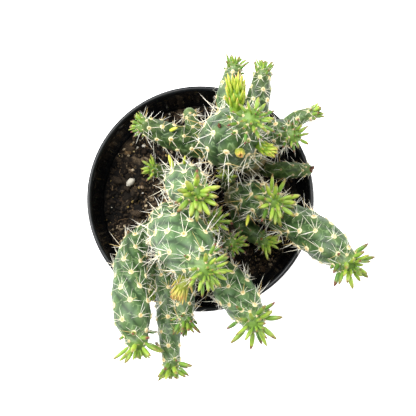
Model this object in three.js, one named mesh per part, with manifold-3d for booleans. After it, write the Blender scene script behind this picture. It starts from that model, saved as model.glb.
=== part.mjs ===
// Potted cholla cactus in a round plastic nursery pot. Millimetres, Z up.
// The origin is the centre of the pot's underside, where the pot meets the surface it stands on.
import * as THREE from 'three';
import { mergeVertices } from 'three/addons/utils/BufferGeometryUtils.js';
import Module from 'manifold-3d';

const wasm = await Module();
wasm.setup();

// Pot
const RIM_RADIUS = 51;
const POT_HEIGHT = 90;
const BASE_RADIUS = 37;
const BASE_CHAMFER = 1.5;
const WALL = 1.4;
const FLOOR = 2.4;
const BAND_HEIGHT = 9;
const BAND_STEP = 1.3;
const LIP_CHAMFER = 0.8;
const POT_SIDES = 36;
const DRAIN_HOLES = 5;
const DRAIN_RADIUS = 4;
const DRAIN_CIRCLE = 24;
const DRAIN_SIDES = 10;

// Soil
const SOIL_LEVEL = 70;
const SOIL_MOUND = 2.2;
const SOIL_ROUGHNESS = 1.3;
const SOIL_RINGS = 4;
const SOIL_SIDES = 26;
const LUMP_COUNT = 7;
const LUMP_SMALLEST = 1.4;
const LUMP_RANGE = 1.4;

// Gaps between neighbouring solids
const GAP = 0.3;
const JUNCTION_GAP = 0.42;
const HOLE_SIDES = 12;
const HOLE_REACH = 16;
const HOLE_ROOM = 1.1;

// Tubercles: the diamond swellings that cover a stem, each with an areole on its peak
const VALLEY = 0.84;
const PEAK_SHIFT = 0.15;
const TWIST = 0.07;
const AREOLE_RADIUS = 0.75;
const AREOLE_RISE = 0.3;

// Spines, four to a spiny areole: one long and upright, three short and leaning
const LONG_SPINE = 9.5;
const SHORT_SPINE = 5.5;
const SPINE_SPREAD = 2;
const LONG_LEAN = 24;
const SHORT_LEAN = 54;
const LEAN_SPREAD = 12;
const SPINE_ROOM = 0.35;

// Leaves
const LEAF_RADIUS = 0.95;
const BUD_LEAF_RADIUS = 0.76;
const BUD_LEAF_SHARE = 0.17;
const LEAF_WIDEST = 0.45;
const LEAF_DROOP = 16;

// Where the tip rows of a stem lie, in tip radii past the centre of its round end
const LAST_STEM_ROW = -0.45;
const CROWN_ROWS = [0.15, 0.6];
const CROWN_END = 0.92;
const BARE_END = 0.8;
const APEX_RISE = 1.1;

const DEGREE = Math.PI / 180;

// Smoothness of the sampled centrelines
const FRAME_STEPS = 60;
const SAMPLE_STEP = 1.5;
const MERGE_DISTANCE = 0.002;

const COLOURS = {
  pot: 0x141416,
  soil: 0x3b2a20,
  stem: 0x5f8a62,
  leaves: 0x9ac043,
  lime: 0xb9d23c,
  gold: 0xb59a3a,
};

// Every stem and bud: its parent, how many tubercles go round it, the distance between their rows,
// the length and the lift (degrees above sideways) of the leaves at its tip, and the centreline from
// base to tip as [x, y, z, radius]. A stem with no leaf length ends in a bare spiny tip.
const STEMS = [
  {
    name: 'front_main', around: 7, pitch: 6.6, leaf: 5.8, lift: 38,
    line: [[-12, -8, 61, 5.5], [-12, -10, 85, 7.6], [-12, -14, 108, 9.8], [-7, -21, 132, 11.2],
      [-2, -27, 145, 9.5], [1.5, -31.5, 151, 5.5]],
  },
  {
    name: 'back_main', around: 7, pitch: 6.6, leaf: 4.8, lift: 52,
    line: [[26.5, 19, 61, 5.5], [24, 18, 80, 7], [16.6, 18.8, 105, 9], [11.3, 18, 128, 11.3],
      [14, 18.6, 142, 10.1], [18, 20.5, 150, 5.5]],
  },
  {
    name: 'centre_main', around: 6, pitch: 5.9, leaf: 7.8, lift: 38,
    line: [[-3, 7.5, 61, 5], [-4, 5.5, 85, 6.2], [-5.5, 3.5, 110, 7.6], [-5.5, 0.5, 130, 8],
      [-3, -2.5, 140, 7], [-1.5, -5, 146, 4]],
  },
  {
    name: 'right_main', around: 6, pitch: 5.8, leaf: 8, lift: 36,
    line: [[18, 3.5, 61, 5], [17, 1, 80, 6.2], [20, -1.5, 98, 7.4], [25, -3.5, 110, 7.4],
      [29.5, -5, 119, 4.2]],
  },
  {
    name: 'right_long', parent: 'right_main', around: 6, pitch: 6, leaf: 7.2, lift: 34,
    line: [[23, -3, 84, 4.2], [30, -7, 92, 6.2], [40, -12.5, 107, 7.5], [50, -21.6, 120, 8.1],
      [56.8, -29.2, 128, 4.8]],
  },
  {
    name: 'right_inner', parent: 'right_main', around: 5, pitch: 4.8, leaf: 6, lift: 40,
    line: [[16, -3.5, 79, 3], [18.5, -10.5, 84, 4.2], [22.5, -15.5, 88, 4.5], [28, -19.5, 92, 3.4]],
  },
  {
    name: 'middle_low', parent: 'right_main', around: 5, pitch: 4.6, leaf: 4.5, lift: 45,
    line: [[15.5, 3.5, 72, 2.6], [13, 6.5, 79, 3.5], [12.5, 9.5, 87, 3.2]],
  },
  {
    name: 'left_long', parent: 'front_main', around: 6, pitch: 6, leaf: 8.6, lift: 26,
    line: [[-16, -13, 88, 4], [-23, -18, 98, 5.8], [-28.3, -26, 107, 6.5], [-28.4, -38.5, 114, 7.2],
      [-26.7, -50.5, 119, 7.6], [-24.6, -59.3, 121, 4.8]],
  },
  {
    name: 'front_slim', parent: 'front_main', around: 5, pitch: 5.6, leaf: 7, lift: 34,
    line: [[-12, -18, 82, 3.4], [-14.5, -29, 94, 4.6], [-13.9, -42, 103, 5], [-12.8, -55.5, 107, 5],
      [-11.6, -70.3, 110, 3.6]],
  },
  {
    name: 'front_short', parent: 'front_main', around: 5, pitch: 4.8, leaf: 6.8, lift: 44,
    line: [[-7, -26, 112, 3], [-6, -36, 113, 4], [-6, -46, 115, 4.2], [-5.5, -52, 117, 3]],
  },
  {
    name: 'front_low', parent: 'front_slim', around: 5, pitch: 4.4, leaf: 4.5, lift: 42,
    line: [[-16, -25, 88, 2.4], [-20, -32, 89, 3.3], [-21, -41, 93, 2.6]],
  },
  {
    name: 'front_right', parent: 'front_main', around: 6, pitch: 6, leaf: 8.4, lift: 22,
    line: [[-7, -18, 86, 3.6], [1.5, -27, 96, 5.2], [9.8, -36, 108, 7.4], [16.2, -44, 120, 8],
      [20.2, -51.2, 130, 5]],
  },
  {
    name: 'inner_upper', parent: 'front_main', around: 5, pitch: 4.6, leaf: 5.5, lift: 42,
    line: [[-6.5, -9, 98, 3], [0, -10.5, 107, 4], [5.5, -13, 118, 3.4]],
  },
  {
    name: 'inner_lower', parent: 'front_main', around: 5, pitch: 4.6, leaf: 5, lift: 42,
    line: [[-5.5, -15, 96, 3], [4, -18.5, 100, 4], [13, -21.5, 108, 3.4]],
  },
  {
    name: 'back_left', parent: 'back_main', around: 5, pitch: 5.2, leaf: 5, lift: 48,
    line: [[15.5, 23.5, 100, 3.2], [12, 32, 106, 4.3], [11.7, 42, 110, 4.5], [14.3, 51.3, 113, 3.4]],
  },
  {
    name: 'back_right', parent: 'back_main', around: 5, pitch: 5.2, leaf: 4.2, lift: 64,
    line: [[21, 23.5, 106, 3.2], [23.7, 31.5, 110, 4.4], [24.7, 40, 113, 5], [26.2, 48.4, 117, 3.4]],
  },
  {
    name: 'right_upper', parent: 'back_main', around: 5, pitch: 4.8, leaf: 4.4, lift: 54,
    line: [[21.5, 18, 112, 3.4], [28.2, 21.3, 114, 5.2], [33.4, 23.2, 118, 6], [36.8, 21, 124, 4]],
  },
  {
    name: 'right_tip', parent: 'right_upper', around: 5, pitch: 4.4, leaf: 3.8, lift: 66,
    line: [[33.6, 25.3, 117, 2.4], [39, 28.4, 120, 3.3], [45.2, 30.3, 121.5, 2.6]],
  },
  {
    name: 'right_low', parent: 'back_main', around: 5, pitch: 4.6, leaf: 0, lift: 0,
    line: [[27, 16, 76, 2.6], [31.5, 13, 86, 3.6], [39, 11.5, 94, 3.8], [46.5, 11, 98, 2.8]],
  },
  {
    name: 'left_upper', parent: 'back_main', around: 5, pitch: 5.2, leaf: 4.4, lift: 50,
    line: [[17.5, 19, 90, 3.6], [3, 20.5, 97, 5.2], [-12.5, 25, 103, 5.8], [-23.5, 28.5, 108, 3.8]],
  },
  {
    name: 'left_small', parent: 'left_upper', around: 5, pitch: 4.4, leaf: 0, lift: 0,
    line: [[2.5, 20.5, 97, 2.6], [-2, 27, 101, 3.5], [-4.5, 34.5, 104, 2.8]],
  },
  {
    name: 'left_low', parent: 'centre_main', around: 5, pitch: 4.4, leaf: 5, lift: 42,
    line: [[-6.5, 8, 78, 2.8], [-13.5, 11, 84, 3.8], [-20, 12.5, 90, 3]],
  },
  {
    name: 'back_lime', parent: 'back_main', bud: 'lime', around: 5, pitch: 3.3, leaf: 4.8, lift: 62,
    line: [[14, 22.5, 146, 2.4], [13.5, 28, 152, 3.6], [13, 35, 157, 2]],
  },
  {
    name: 'back_small', parent: 'back_main', bud: 'gold', around: 5, pitch: 2.2, leaf: 2.2, lift: 66,
    line: [[14.5, 13.2, 141, 1.8], [15, 9.9, 147, 1.9]],
  },
  {
    name: 'back_side', parent: 'back_main', bud: 'lime', around: 5, pitch: 3, leaf: 2.8, lift: 64,
    line: [[20.5, 15, 140, 1.8], [24, 12.5, 142.5, 2.6], [28, 10.5, 144, 1.8]],
  },
  {
    name: 'front_gold', parent: 'front_main', bud: 'gold', around: 5, pitch: 3.2, leaf: 4.2, lift: 62,
    line: [[-4, -30.5, 137, 2.2], [-5.5, -37, 140, 3.2], [-7.5, -43, 140.5, 2]],
  },
];

// A repeatable draw from 0 to 1 out of four whole numbers.
function draw(stem, column, row, use) {
  const wave = Math.sin(stem * 127.1 + column * 311.7 + row * 74.7 + use * 19.3) * 43758.5453;
  return wave - Math.floor(wave);
}

// The same draw, from -1 to 1.
function swing(stem, column, row, use) {
  return 2 * draw(stem, column, row, use) - 1;
}

// A geometry with only positions, shared vertices merged and flat scraps left out.
function merged(geometry) {
  const bare = new THREE.BufferGeometry();
  bare.setAttribute('position', geometry.getAttribute('position').clone());
  if (geometry.index) bare.setIndex(geometry.index.clone());
  const joined = mergeVertices(bare, MERGE_DISTANCE);
  const corners = joined.index.array;
  const kept = [];
  for (let k = 0; k < corners.length; k += 3) {
    const [a, b, c] = [corners[k], corners[k + 1], corners[k + 2]];
    if (a !== b && b !== c && c !== a) kept.push(a, b, c);
  }
  joined.setIndex(kept);
  return joined;
}

function toSolid(geometry) {
  const closed = merged(geometry);
  const mesh = new wasm.Mesh({
    numProp: 3,
    vertProperties: new Float32Array(closed.getAttribute('position').array),
    triVerts: new Uint32Array(closed.index.array),
  });
  return new wasm.Manifold(mesh);
}

// The largest body of a solid, so a cut leaves no loose scrap.
function largestBody(solid) {
  const bodies = solid.decompose();
  return bodies.reduce((best, body) => (body.volume() > best.volume() ? body : best));
}

function toGeometry(solid) {
  const mesh = solid.getMesh();
  const geometry = new THREE.BufferGeometry();
  geometry.setAttribute('position', new THREE.BufferAttribute(mesh.vertProperties, 3));
  geometry.setIndex(new THREE.BufferAttribute(mesh.triVerts, 1));
  return merged(geometry);
}

function namedMesh(name, geometry, colour, roughness) {
  const material = new THREE.MeshStandardMaterial({
    color: colour, roughness, metalness: 0, flatShading: true,
  });
  const mesh = new THREE.Mesh(geometry, material);
  mesh.name = name;
  return mesh;
}

// Radius of the pot's outer wall below the band, and of its inner wall, at height z.
function outerRadius(z) {
  const bodyTop = RIM_RADIUS - BAND_STEP;
  return BASE_RADIUS + (bodyTop - BASE_RADIUS) * z / (POT_HEIGHT - BAND_HEIGHT);
}

function innerRadius(z) {
  return Math.min(outerRadius(z), RIM_RADIUS - BAND_STEP) - WALL;
}

// Height of the soil's surface at x, y: a low mound with rough ripples.
function soilHeight(x, y) {
  const edge = innerRadius(SOIL_LEVEL);
  const mound = SOIL_MOUND * (1 - (x * x + y * y) / (edge * edge));
  const ripple = Math.sin(x * 0.31 + 1.3) * Math.cos(y * 0.27) + Math.sin(x * 0.73 - y * 0.61 + 0.4);
  return SOIL_LEVEL + mound + SOIL_ROUGHNESS * ripple / 2;
}

// A surface put together from single points and triangles.
class Skin {
  constructor() {
    this.points = [];
    this.corners = [];
  }

  point(position) {
    this.points.push(position.x, position.y, position.z);
    return this.points.length / 3 - 1;
  }

  face(a, b, c) {
    this.corners.push(a, b, c);
  }

  geometry() {
    const geometry = new THREE.BufferGeometry();
    geometry.setAttribute('position', new THREE.Float32BufferAttribute(this.points, 3));
    geometry.setIndex(this.corners);
    return geometry;
  }
}

// The centreline of a stem, with a frame and a radius at any distance from its base.
class Centreline {
  constructor(line) {
    const places = line.map(([x, y, z]) => new THREE.Vector3(x, y, z));
    const widths = line.map(([, , , radius]) => new THREE.Vector3(radius, 0, 0));
    this.curve = new THREE.CatmullRomCurve3(places, false, 'catmullrom', 0.5);
    this.widths = new THREE.CatmullRomCurve3(widths, false, 'catmullrom', 0.5);
    this.length = this.curve.getLength();
    this.tipRadius = line.at(-1)[3];
    this.sides = this.carriedSides();
  }

  // A sideways direction carried along the curve without turning about it.
  carriedSides() {
    const sides = [];
    let side = new THREE.Vector3(0, 1, 0);
    for (let step = 0; step <= FRAME_STEPS; step += 1) {
      const along = this.curve.getTangentAt(step / FRAME_STEPS);
      side = side.clone().addScaledVector(along, -side.dot(along)).normalize();
      sides.push(side);
    }
    return sides;
  }

  radiusAt(distance) {
    const past = distance - this.length;
    if (past > 0) return Math.sqrt(Math.max(0, this.tipRadius ** 2 - past ** 2));
    const share = Math.max(0, distance) / this.length;
    return this.widths.getPoint(this.curve.getUtoTmapping(share)).x;
  }

  frameAt(distance) {
    const share = THREE.MathUtils.clamp(distance / this.length, 0, 1);
    const along = this.curve.getTangentAt(share);
    const side = this.sides[Math.round(share * FRAME_STEPS)].clone();
    side.addScaledVector(along, -side.dot(along)).normalize();
    const centre = this.curve.getPointAt(share);
    centre.addScaledVector(along, distance - share * this.length);
    return { centre, along, side, across: along.clone().cross(side) };
  }

  // Centres and radii along the whole stem, for measuring how near something comes to it.
  beads() {
    const end = this.length + this.tipRadius * 0.5;
    const count = Math.ceil(end / SAMPLE_STEP);
    return Array.from({ length: count + 1 }, (_, k) => {
      const distance = end * k / count;
      return { centre: this.frameAt(distance).centre, radius: this.radiusAt(distance) };
    });
  }
}

// A stem or bud: rows of tubercle sites along a centreline, each row half a step round from the last.
class Stem {
  constructor(spec, index) {
    Object.assign(this, spec);
    this.index = index;
    this.axis = new Centreline(spec.line);
    this.rows = this.rowDistances();
    this.beads = this.axis.beads();
    this.sites = [];
    for (let row = 0; row < this.rows.length - 2; row += 1) {
      for (let column = 0; column < this.around; column += 1) this.sites.push(this.site(column, row));
    }
  }

  // Distances of the valley rows from the base: the first and last rows close the ends.
  // rows[k + 1] is the row of the sites k.
  rowDistances() {
    const { length, tipRadius } = this.axis;
    const first = this.pitch / 2;
    const last = length + LAST_STEM_ROW * tipRadius;
    const steps = Math.max(1, Math.round((last - first) / this.pitch));
    const stemRows = Array.from({ length: steps + 1 }, (_, k) => first + (last - first) * k / steps);
    this.stemRowCount = stemRows.length;
    const tipRows = (this.leaf > 0 ? CROWN_ROWS : [CROWN_ROWS[0]]).map((k) => length + k * tipRadius);
    const end = length + (this.leaf > 0 ? CROWN_END : BARE_END) * tipRadius;
    return [0, ...stemRows, ...tipRows, end];
  }

  hasCrown() {
    return this.leaf > 0 && !this.bud;
  }

  angle(column, row) {
    return 2 * Math.PI * (column + row / 2) / this.around + TWIST * row;
  }

  // The directions outward, round the stem and along it, at a site or a valley.
  directions(distance, angle) {
    const { centre, along, side, across } = this.axis.frameAt(distance);
    const sideways = side.clone().multiplyScalar(Math.cos(angle)).addScaledVector(across, Math.sin(angle));
    const round = along.clone().cross(sideways);
    return { centre, along, sideways, round };
  }

  valley(column, row, swell, shift) {
    const distance = this.rows[row + 1];
    const angle = this.angle(column, row) + Math.PI / this.around;
    const { centre, along, sideways } = this.directions(distance, angle);
    const radius = VALLEY * this.axis.radiusAt(distance) + swell;
    return centre.addScaledVector(sideways, radius).addScaledVector(along, shift);
  }

  site(column, row) {
    const distance = this.rows[row + 1];
    const span = this.rows[row + 2] - this.rows[row];
    const peakAt = distance + PEAK_SHIFT * span / 2;
    const { centre, along, sideways, round } = this.directions(peakAt, this.angle(column, row));
    const radius = this.axis.radiusAt(peakAt);
    const slope = this.axis.radiusAt(peakAt + 0.5) - this.axis.radiusAt(peakAt - 0.5);
    const outward = sideways.clone().addScaledVector(along, THREE.MathUtils.clamp(-slope, -1, 1.5)).normalize();
    const forward = outward.clone().cross(round).normalize();
    const peak = centre.clone().addScaledVector(sideways, radius);
    return { column, row, distance, peak, outward, round, forward, along, sideways, spines: [], leaf: null };
  }
}

// Shortest distance between two straight pieces, each given by its two ends.
function distanceBetween([a, b], [c, d]) {
  const u = b.clone().sub(a);
  const v = d.clone().sub(c);
  const w = a.clone().sub(c);
  const [uu, uv, vv, uw, vw] = [u.dot(u), u.dot(v), v.dot(v), u.dot(w), v.dot(w)];
  const spread = uu * vv - uv * uv;
  let s = spread > 1e-9 ? THREE.MathUtils.clamp((uv * vw - vv * uw) / spread, 0, 1) : 0;
  let t = (uv * s + vw) / vv;
  if (t < 0 || t > 1) {
    t = THREE.MathUtils.clamp(t, 0, 1);
    s = THREE.MathUtils.clamp((uv * t - uw) / uu, 0, 1);
  }
  return w.addScaledVector(u, s).addScaledVector(v, -t).length();
}

// True where a thing of the given thickness at this point misses the pot and the soil.
function clearOfPot(point, margin) {
  const reach = Math.hypot(point.x, point.y);
  if (point.z > POT_HEIGHT + margin) return true;
  if (reach > RIM_RADIUS + margin) return true;
  return reach < innerRadius(point.z) - margin && point.z > soilHeight(point.x, point.y) + margin;
}

// What already stands in the air round the plant: leaves and spines as straight pieces.
class Surroundings {
  constructor(stems) {
    this.stems = stems;
    this.pieces = [];
  }

  // Whether a path of straight pieces fits, and if so it is remembered. Room is half the thickness
  // that the path needs. The foot of a path with more than one piece springs from among the others
  // of its stem, so it is only held clear of thin ones there.
  accepts(stem, owner, path, room) {
    const isLeaf = path.length > 2;
    const pieces = path.slice(1).map((end, k) => ({
      stem, owner, room, isLeaf, ends: [path[k], end], isFoot: isLeaf && k === 0,
    }));
    const fits = pieces.every((piece) => this.isFree(piece));
    if (fits) this.pieces.push(...pieces);
    return fits;
  }

  isFree(piece) {
    const points = [0, 0.2, 0.4, 0.6, 0.8, 1].map((k) => piece.ends[0].clone().lerp(piece.ends[1], k));
    return points.every((point) => clearOfPot(point, piece.room + GAP))
      && this.missesStems(piece, points)
      && this.missesPieces(piece);
  }

  missesStems(piece, points) {
    return this.stems.every((other) => {
      if (other === piece.stem && piece.isFoot) return true;
      const tested = other === piece.stem ? points.slice(2) : points;
      return tested.every((point) => other.beads.every(
        ({ centre, radius }) => centre.distanceTo(point) > radius + piece.room + GAP / 2,
      ));
    });
  }

  missesPieces(piece) {
    return this.pieces.every((other) => (
      other.owner === piece.owner
      || (other.stem === piece.stem && other.isLeaf && piece.isLeaf && (other.isFoot || piece.isFoot))
      || distanceBetween(other.ends, piece.ends) > piece.room + other.room
    ));
  }
}

// Leaves of one site: the first that fits, from the full length to a short one.
function growLeaf(stem, site, surroundings, lift) {
  const turn = 9 * DEGREE * swing(stem.index, site.column, site.row, 1);
  const rise = (lift + 8 * swing(stem.index, site.column, site.row, 2)) * DEGREE;
  const length = stem.leaf * (1 - 0.18 * draw(stem.index, site.column, site.row, 3));
  for (const share of [1, 0.75, 0.5]) {
    const aside = site.sideways.clone().addScaledVector(site.round, turn).normalize();
    const start = aside.clone().multiplyScalar(Math.cos(rise)).addScaledVector(site.along, Math.sin(rise));
    const late = rise - LEAF_DROOP * DEGREE * (stem.bud ? -1 : 1);
    const end = aside.clone().multiplyScalar(Math.cos(late)).addScaledVector(site.along, Math.sin(late));
    const middle = site.peak.clone().addScaledVector(start, LEAF_WIDEST * share * length);
    const tip = middle.clone().addScaledVector(end, (1 - LEAF_WIDEST) * share * length);
    const owner = stem.bud ? stem : site;
    const room = leafWidth(stem) + GAP / 2;
    if (surroundings.accepts(stem, owner, [site.peak, middle, tip], room)) {
      site.leaf = { middle, tip, direction: start };
      return;
    }
  }
}

// The four corners of a site's areole pad: right, up, left and down on the stem.
function padCorners(site) {
  return [[1, 0], [0, 1], [-1, 0], [0, -1]].map(([round, forward]) => (
    site.peak.clone()
      .addScaledVector(site.round, round * AREOLE_RADIUS)
      .addScaledVector(site.forward, forward * AREOLE_RADIUS)
  ));
}

// Spines of one site, one on each quarter of its pad, where they have room.
function growSpines(stem, site, surroundings) {
  const longOne = Math.floor(4 * draw(stem.index, site.column, site.row, 4));
  const thin = Math.min(1, 0.55 + stem.axis.radiusAt(site.distance) / 14);
  for (let quarter = 0; quarter < 4; quarter += 1) {
    const isLong = quarter === longOne;
    const turn = 45 + 90 * quarter + 22 * swing(stem.index, site.column, site.row, 10 + quarter);
    const spread = LEAN_SPREAD * swing(stem.index, site.column, site.row, 20 + quarter);
    const lean = ((isLong ? LONG_LEAN : SHORT_LEAN) + spread) * DEGREE;
    const extra = SPINE_SPREAD * swing(stem.index, site.column, site.row, 30 + quarter);
    const length = thin * ((isLong ? LONG_SPINE : SHORT_SPINE) + extra);
    const leaning = site.round.clone().multiplyScalar(Math.cos(turn * DEGREE))
      .addScaledVector(site.forward, Math.sin(turn * DEGREE));
    const direction = site.outward.clone().multiplyScalar(Math.cos(lean))
      .addScaledVector(leaning, Math.sin(lean));
    const root = site.peak.clone().addScaledVector(leaning, AREOLE_RADIUS / 2);
    const fits = [1, 0.7].map((share) => root.clone().addScaledVector(direction, share * length))
      .find((tip) => surroundings.accepts(stem, site, [root, tip], SPINE_ROOM));
    site.spines.push(fits ?? null);
  }
}

// A spine: three faces from a quarter of the pad to the tip, or the bare quarter.
function addSpine(skin, corners, tip) {
  const [a, b, c] = corners;
  if (!tip) {
    skin.face(a, b, c);
    return;
  }
  const top = skin.point(tip);
  skin.face(a, b, top);
  skin.face(b, c, top);
  skin.face(c, a, top);
}

// Faces from the four corners of a diamond to the four corners of a smaller ring above it.
function addCollar(skin, outer, inner) {
  for (let k = 0; k < 4; k += 1) {
    const next = (k + 1) % 4;
    skin.face(outer[k], outer[next], inner[next]);
    skin.face(outer[k], inner[next], inner[k]);
  }
}

function addPeak(skin, corners, position) {
  const top = skin.point(position);
  for (let k = 0; k < 4; k += 1) skin.face(corners[k], corners[(k + 1) % 4], top);
}

// Half the width of a stem's leaves: the short ones are narrower, and those of a bud narrower still.
function leafWidth(stem) {
  if (stem.bud) return Math.min(BUD_LEAF_RADIUS, BUD_LEAF_SHARE * stem.leaf);
  return LEAF_RADIUS * Math.min(1, 0.5 + stem.leaf / 14);
}

function addLeaf(skin, corners, site, { middle, tip, direction }, width) {
  const wide = site.round.clone().addScaledVector(direction, -site.round.dot(direction)).normalize();
  const high = direction.clone().cross(wide);
  const ring = [[1, 0], [0, 1], [-1, 0], [0, -1]].map(([x, y]) => (
    skin.point(middle.clone().addScaledVector(wide, x * width).addScaledVector(high, y * width))
  ));
  addCollar(skin, corners, ring);
  addPeak(skin, ring, tip);
}

function addSpinyAreole(skin, corners, site) {
  const ring = padCorners(site).map((position) => skin.point(position));
  addCollar(skin, corners, ring);
  const middle = skin.point(site.peak.clone().addScaledVector(site.outward, AREOLE_RISE));
  site.spines.forEach((tip, quarter) => {
    addSpine(skin, [ring[quarter], ring[(quarter + 1) % 4], middle], tip);
  });
}

// The closed skin of a stem from one site row up to another. Swell makes it plain and fatter,
// as the tool that cuts a neighbour's base or the hole in the soil.
function stemSkin(stem, fromRow, toRow, swell = 0, shift = 0) {
  const skin = new Skin();
  const valleys = new Map();
  const valley = (column, row) => {
    const wrapped = (column + stem.around * 8) % stem.around;
    const key = `${wrapped},${row}`;
    const inEnd = row === fromRow - 1 ? -swell : 0;
    if (!valleys.has(key)) valleys.set(key, skin.point(stem.valley(wrapped, row, swell, shift + inEnd)));
    return valleys.get(key);
  };
  const cornersOf = (column, row) => [
    valley(column, row), valley(column - 1, row + 1), valley(column - 1, row), valley(column, row - 1),
  ];
  stem.sites.filter(({ row }) => row >= fromRow && row <= toRow).forEach((site) => {
    const corners = cornersOf(site.column, site.row);
    if (swell > 0) {
      addPeak(skin, corners, site.peak.clone().addScaledVector(site.outward, swell));
    } else if (site.leaf) {
      addLeaf(skin, corners, site, site.leaf, leafWidth(stem));
    } else if (site.spines.some((tip) => tip)) {
      addSpinyAreole(skin, corners, site);
    } else {
      addPeak(skin, corners, site.peak.clone());
    }
  });
  const foot = (stem.rows[fromRow] + stem.rows[fromRow + 1]) / 2;
  const footPoint = stem.axis.frameAt(foot);
  const bottom = skin.point(footPoint.centre.addScaledVector(footPoint.along, shift - swell));
  const isTip = toRow === stem.rows.length - 3;
  const headAt = isTip
    ? stem.axis.length + stem.axis.tipRadius + APEX_RISE * (stem.leaf > 0 ? 1 : 0.2) + swell
    : (stem.rows[toRow + 1] + stem.rows[toRow + 2]) / 2;
  const top = skin.point(stem.axis.frameAt(headAt).centre);
  for (let column = 0; column < stem.around; column += 1) {
    const [lowRight, , lowLeft, low] = cornersOf(column, fromRow);
    skin.face(lowRight, low, bottom);
    skin.face(low, lowLeft, bottom);
    const [highRight, high, highLeft] = cornersOf(column, toRow);
    skin.face(high, highRight, top);
    skin.face(highLeft, high, top);
  }
  return skin.geometry();
}

function buildPot() {
  const bandBottom = POT_HEIGHT - BAND_HEIGHT;
  const bodyTop = RIM_RADIUS - BAND_STEP;
  const lipInner = RIM_RADIUS - BAND_STEP - WALL / 2;
  const profile = [
    [0, 0], [BASE_RADIUS - BASE_CHAMFER, 0], [BASE_RADIUS, BASE_CHAMFER], [bodyTop, bandBottom],
    [RIM_RADIUS, bandBottom + BAND_STEP / 2], [RIM_RADIUS, POT_HEIGHT - LIP_CHAMFER],
    [RIM_RADIUS - LIP_CHAMFER, POT_HEIGHT], [lipInner, POT_HEIGHT],
    [innerRadius(bandBottom), bandBottom], [innerRadius(FLOOR), FLOOR], [0, FLOOR],
  ].map(([radius, z]) => new THREE.Vector2(radius, z));
  const geometry = new THREE.LatheGeometry(profile, POT_SIDES).rotateX(Math.PI / 2);
  let solid = toSolid(geometry);
  for (let k = 0; k < DRAIN_HOLES; k += 1) {
    const turn = 2 * Math.PI * k / DRAIN_HOLES;
    const drill = new THREE.CylinderGeometry(DRAIN_RADIUS, DRAIN_RADIUS, 4 * FLOOR, DRAIN_SIDES);
    drill.rotateX(Math.PI / 2);
    drill.translate(DRAIN_CIRCLE * Math.cos(turn), DRAIN_CIRCLE * Math.sin(turn), 0);
    solid = solid.subtract(toSolid(drill));
  }
  return namedMesh('pot', toGeometry(solid), COLOURS.pot, 0.25);
}

// The soil's body: a rough top, a side that follows the wall and a flat underside on the floor.
function soilBody() {
  const skin = new Skin();
  const bottomZ = FLOOR + GAP;
  const edge = innerRadius(SOIL_LEVEL - SOIL_ROUGHNESS) - GAP;
  const centre = skin.point(new THREE.Vector3(0, 0, soilHeight(0, 0)));
  const bottom = skin.point(new THREE.Vector3(0, 0, bottomZ));
  const ringAt = (radius, height) => Array.from({ length: SOIL_SIDES }, (_, k) => {
    const turn = 2 * Math.PI * k / SOIL_SIDES;
    const [x, y] = [radius * Math.cos(turn), radius * Math.sin(turn)];
    return skin.point(new THREE.Vector3(x, y, height ?? soilHeight(x, y)));
  });
  const rings = Array.from({ length: SOIL_RINGS }, (_, k) => ringAt(edge * (k + 1) / SOIL_RINGS));
  rings.push(ringAt(innerRadius(bottomZ) - GAP, bottomZ));
  for (let k = 0; k < SOIL_SIDES; k += 1) {
    const next = (k + 1) % SOIL_SIDES;
    skin.face(centre, rings[0][k], rings[0][next]);
    for (let ring = 0; ring < SOIL_RINGS; ring += 1) {
      const [inner, outer] = [rings[ring], rings[ring + 1]];
      skin.face(inner[k], outer[k], outer[next]);
      skin.face(inner[k], outer[next], inner[next]);
    }
    skin.face(bottom, rings[SOIL_RINGS][next], rings[SOIL_RINGS][k]);
  }
  return toSolid(skin.geometry());
}

// Lumps of white grit, half sunk in the soil and clear of the plants and the wall.
function gritLumps(stems) {
  const lumps = [];
  for (let attempt = 0; lumps.length < LUMP_COUNT && attempt < 200; attempt += 1) {
    const reach = (innerRadius(SOIL_LEVEL) - 6) * Math.sqrt(draw(90, attempt, 0, 1));
    const turn = 2 * Math.PI * draw(90, attempt, 0, 2);
    const size = LUMP_SMALLEST + LUMP_RANGE * draw(90, attempt, 0, 3);
    const [x, y] = [reach * Math.cos(turn), reach * Math.sin(turn)];
    const place = new THREE.Vector3(x, y, soilHeight(x, y) + size * 0.3);
    const free = stems.every(({ beads }) => beads.every(
      ({ centre, radius }) => centre.distanceTo(place) > radius + size + 1,
    ));
    if (free && lumps.every((other) => other.place.distanceTo(place) > 9)) lumps.push({ place, size });
  }
  return lumps.map(({ place, size }) => (
    toSolid(new THREE.IcosahedronGeometry(size, 0).translate(place.x, place.y, place.z))
  ));
}

// The plain round hole that a rooted stem stands in, from just under its foot to above the soil.
function rootHole(stem) {
  const foot = stem.axis.frameAt(-JUNCTION_GAP);
  const widest = Math.max(stem.axis.radiusAt(0), stem.axis.radiusAt(HOLE_REACH * 0.8));
  const radius = (widest + HOLE_ROOM) / Math.cos(Math.PI / HOLE_SIDES);
  const drill = new THREE.CylinderGeometry(radius, radius, HOLE_REACH, HOLE_SIDES);
  drill.translate(0, HOLE_REACH / 2, 0);
  drill.applyQuaternion(new THREE.Quaternion().setFromUnitVectors(new THREE.Vector3(0, 1, 0), foot.along));
  drill.translate(foot.centre.x, foot.centre.y, foot.centre.z);
  return toSolid(drill);
}

function buildSoil(stems) {
  let solid = soilBody();
  gritLumps(stems).forEach((lump) => { solid = solid.add(lump); });
  stems.filter((stem) => !stem.parent).forEach((stem) => { solid = solid.subtract(rootHole(stem)); });
  return namedMesh('soil', toGeometry(largestBody(solid)), COLOURS.soil, 0.95);
}

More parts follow.
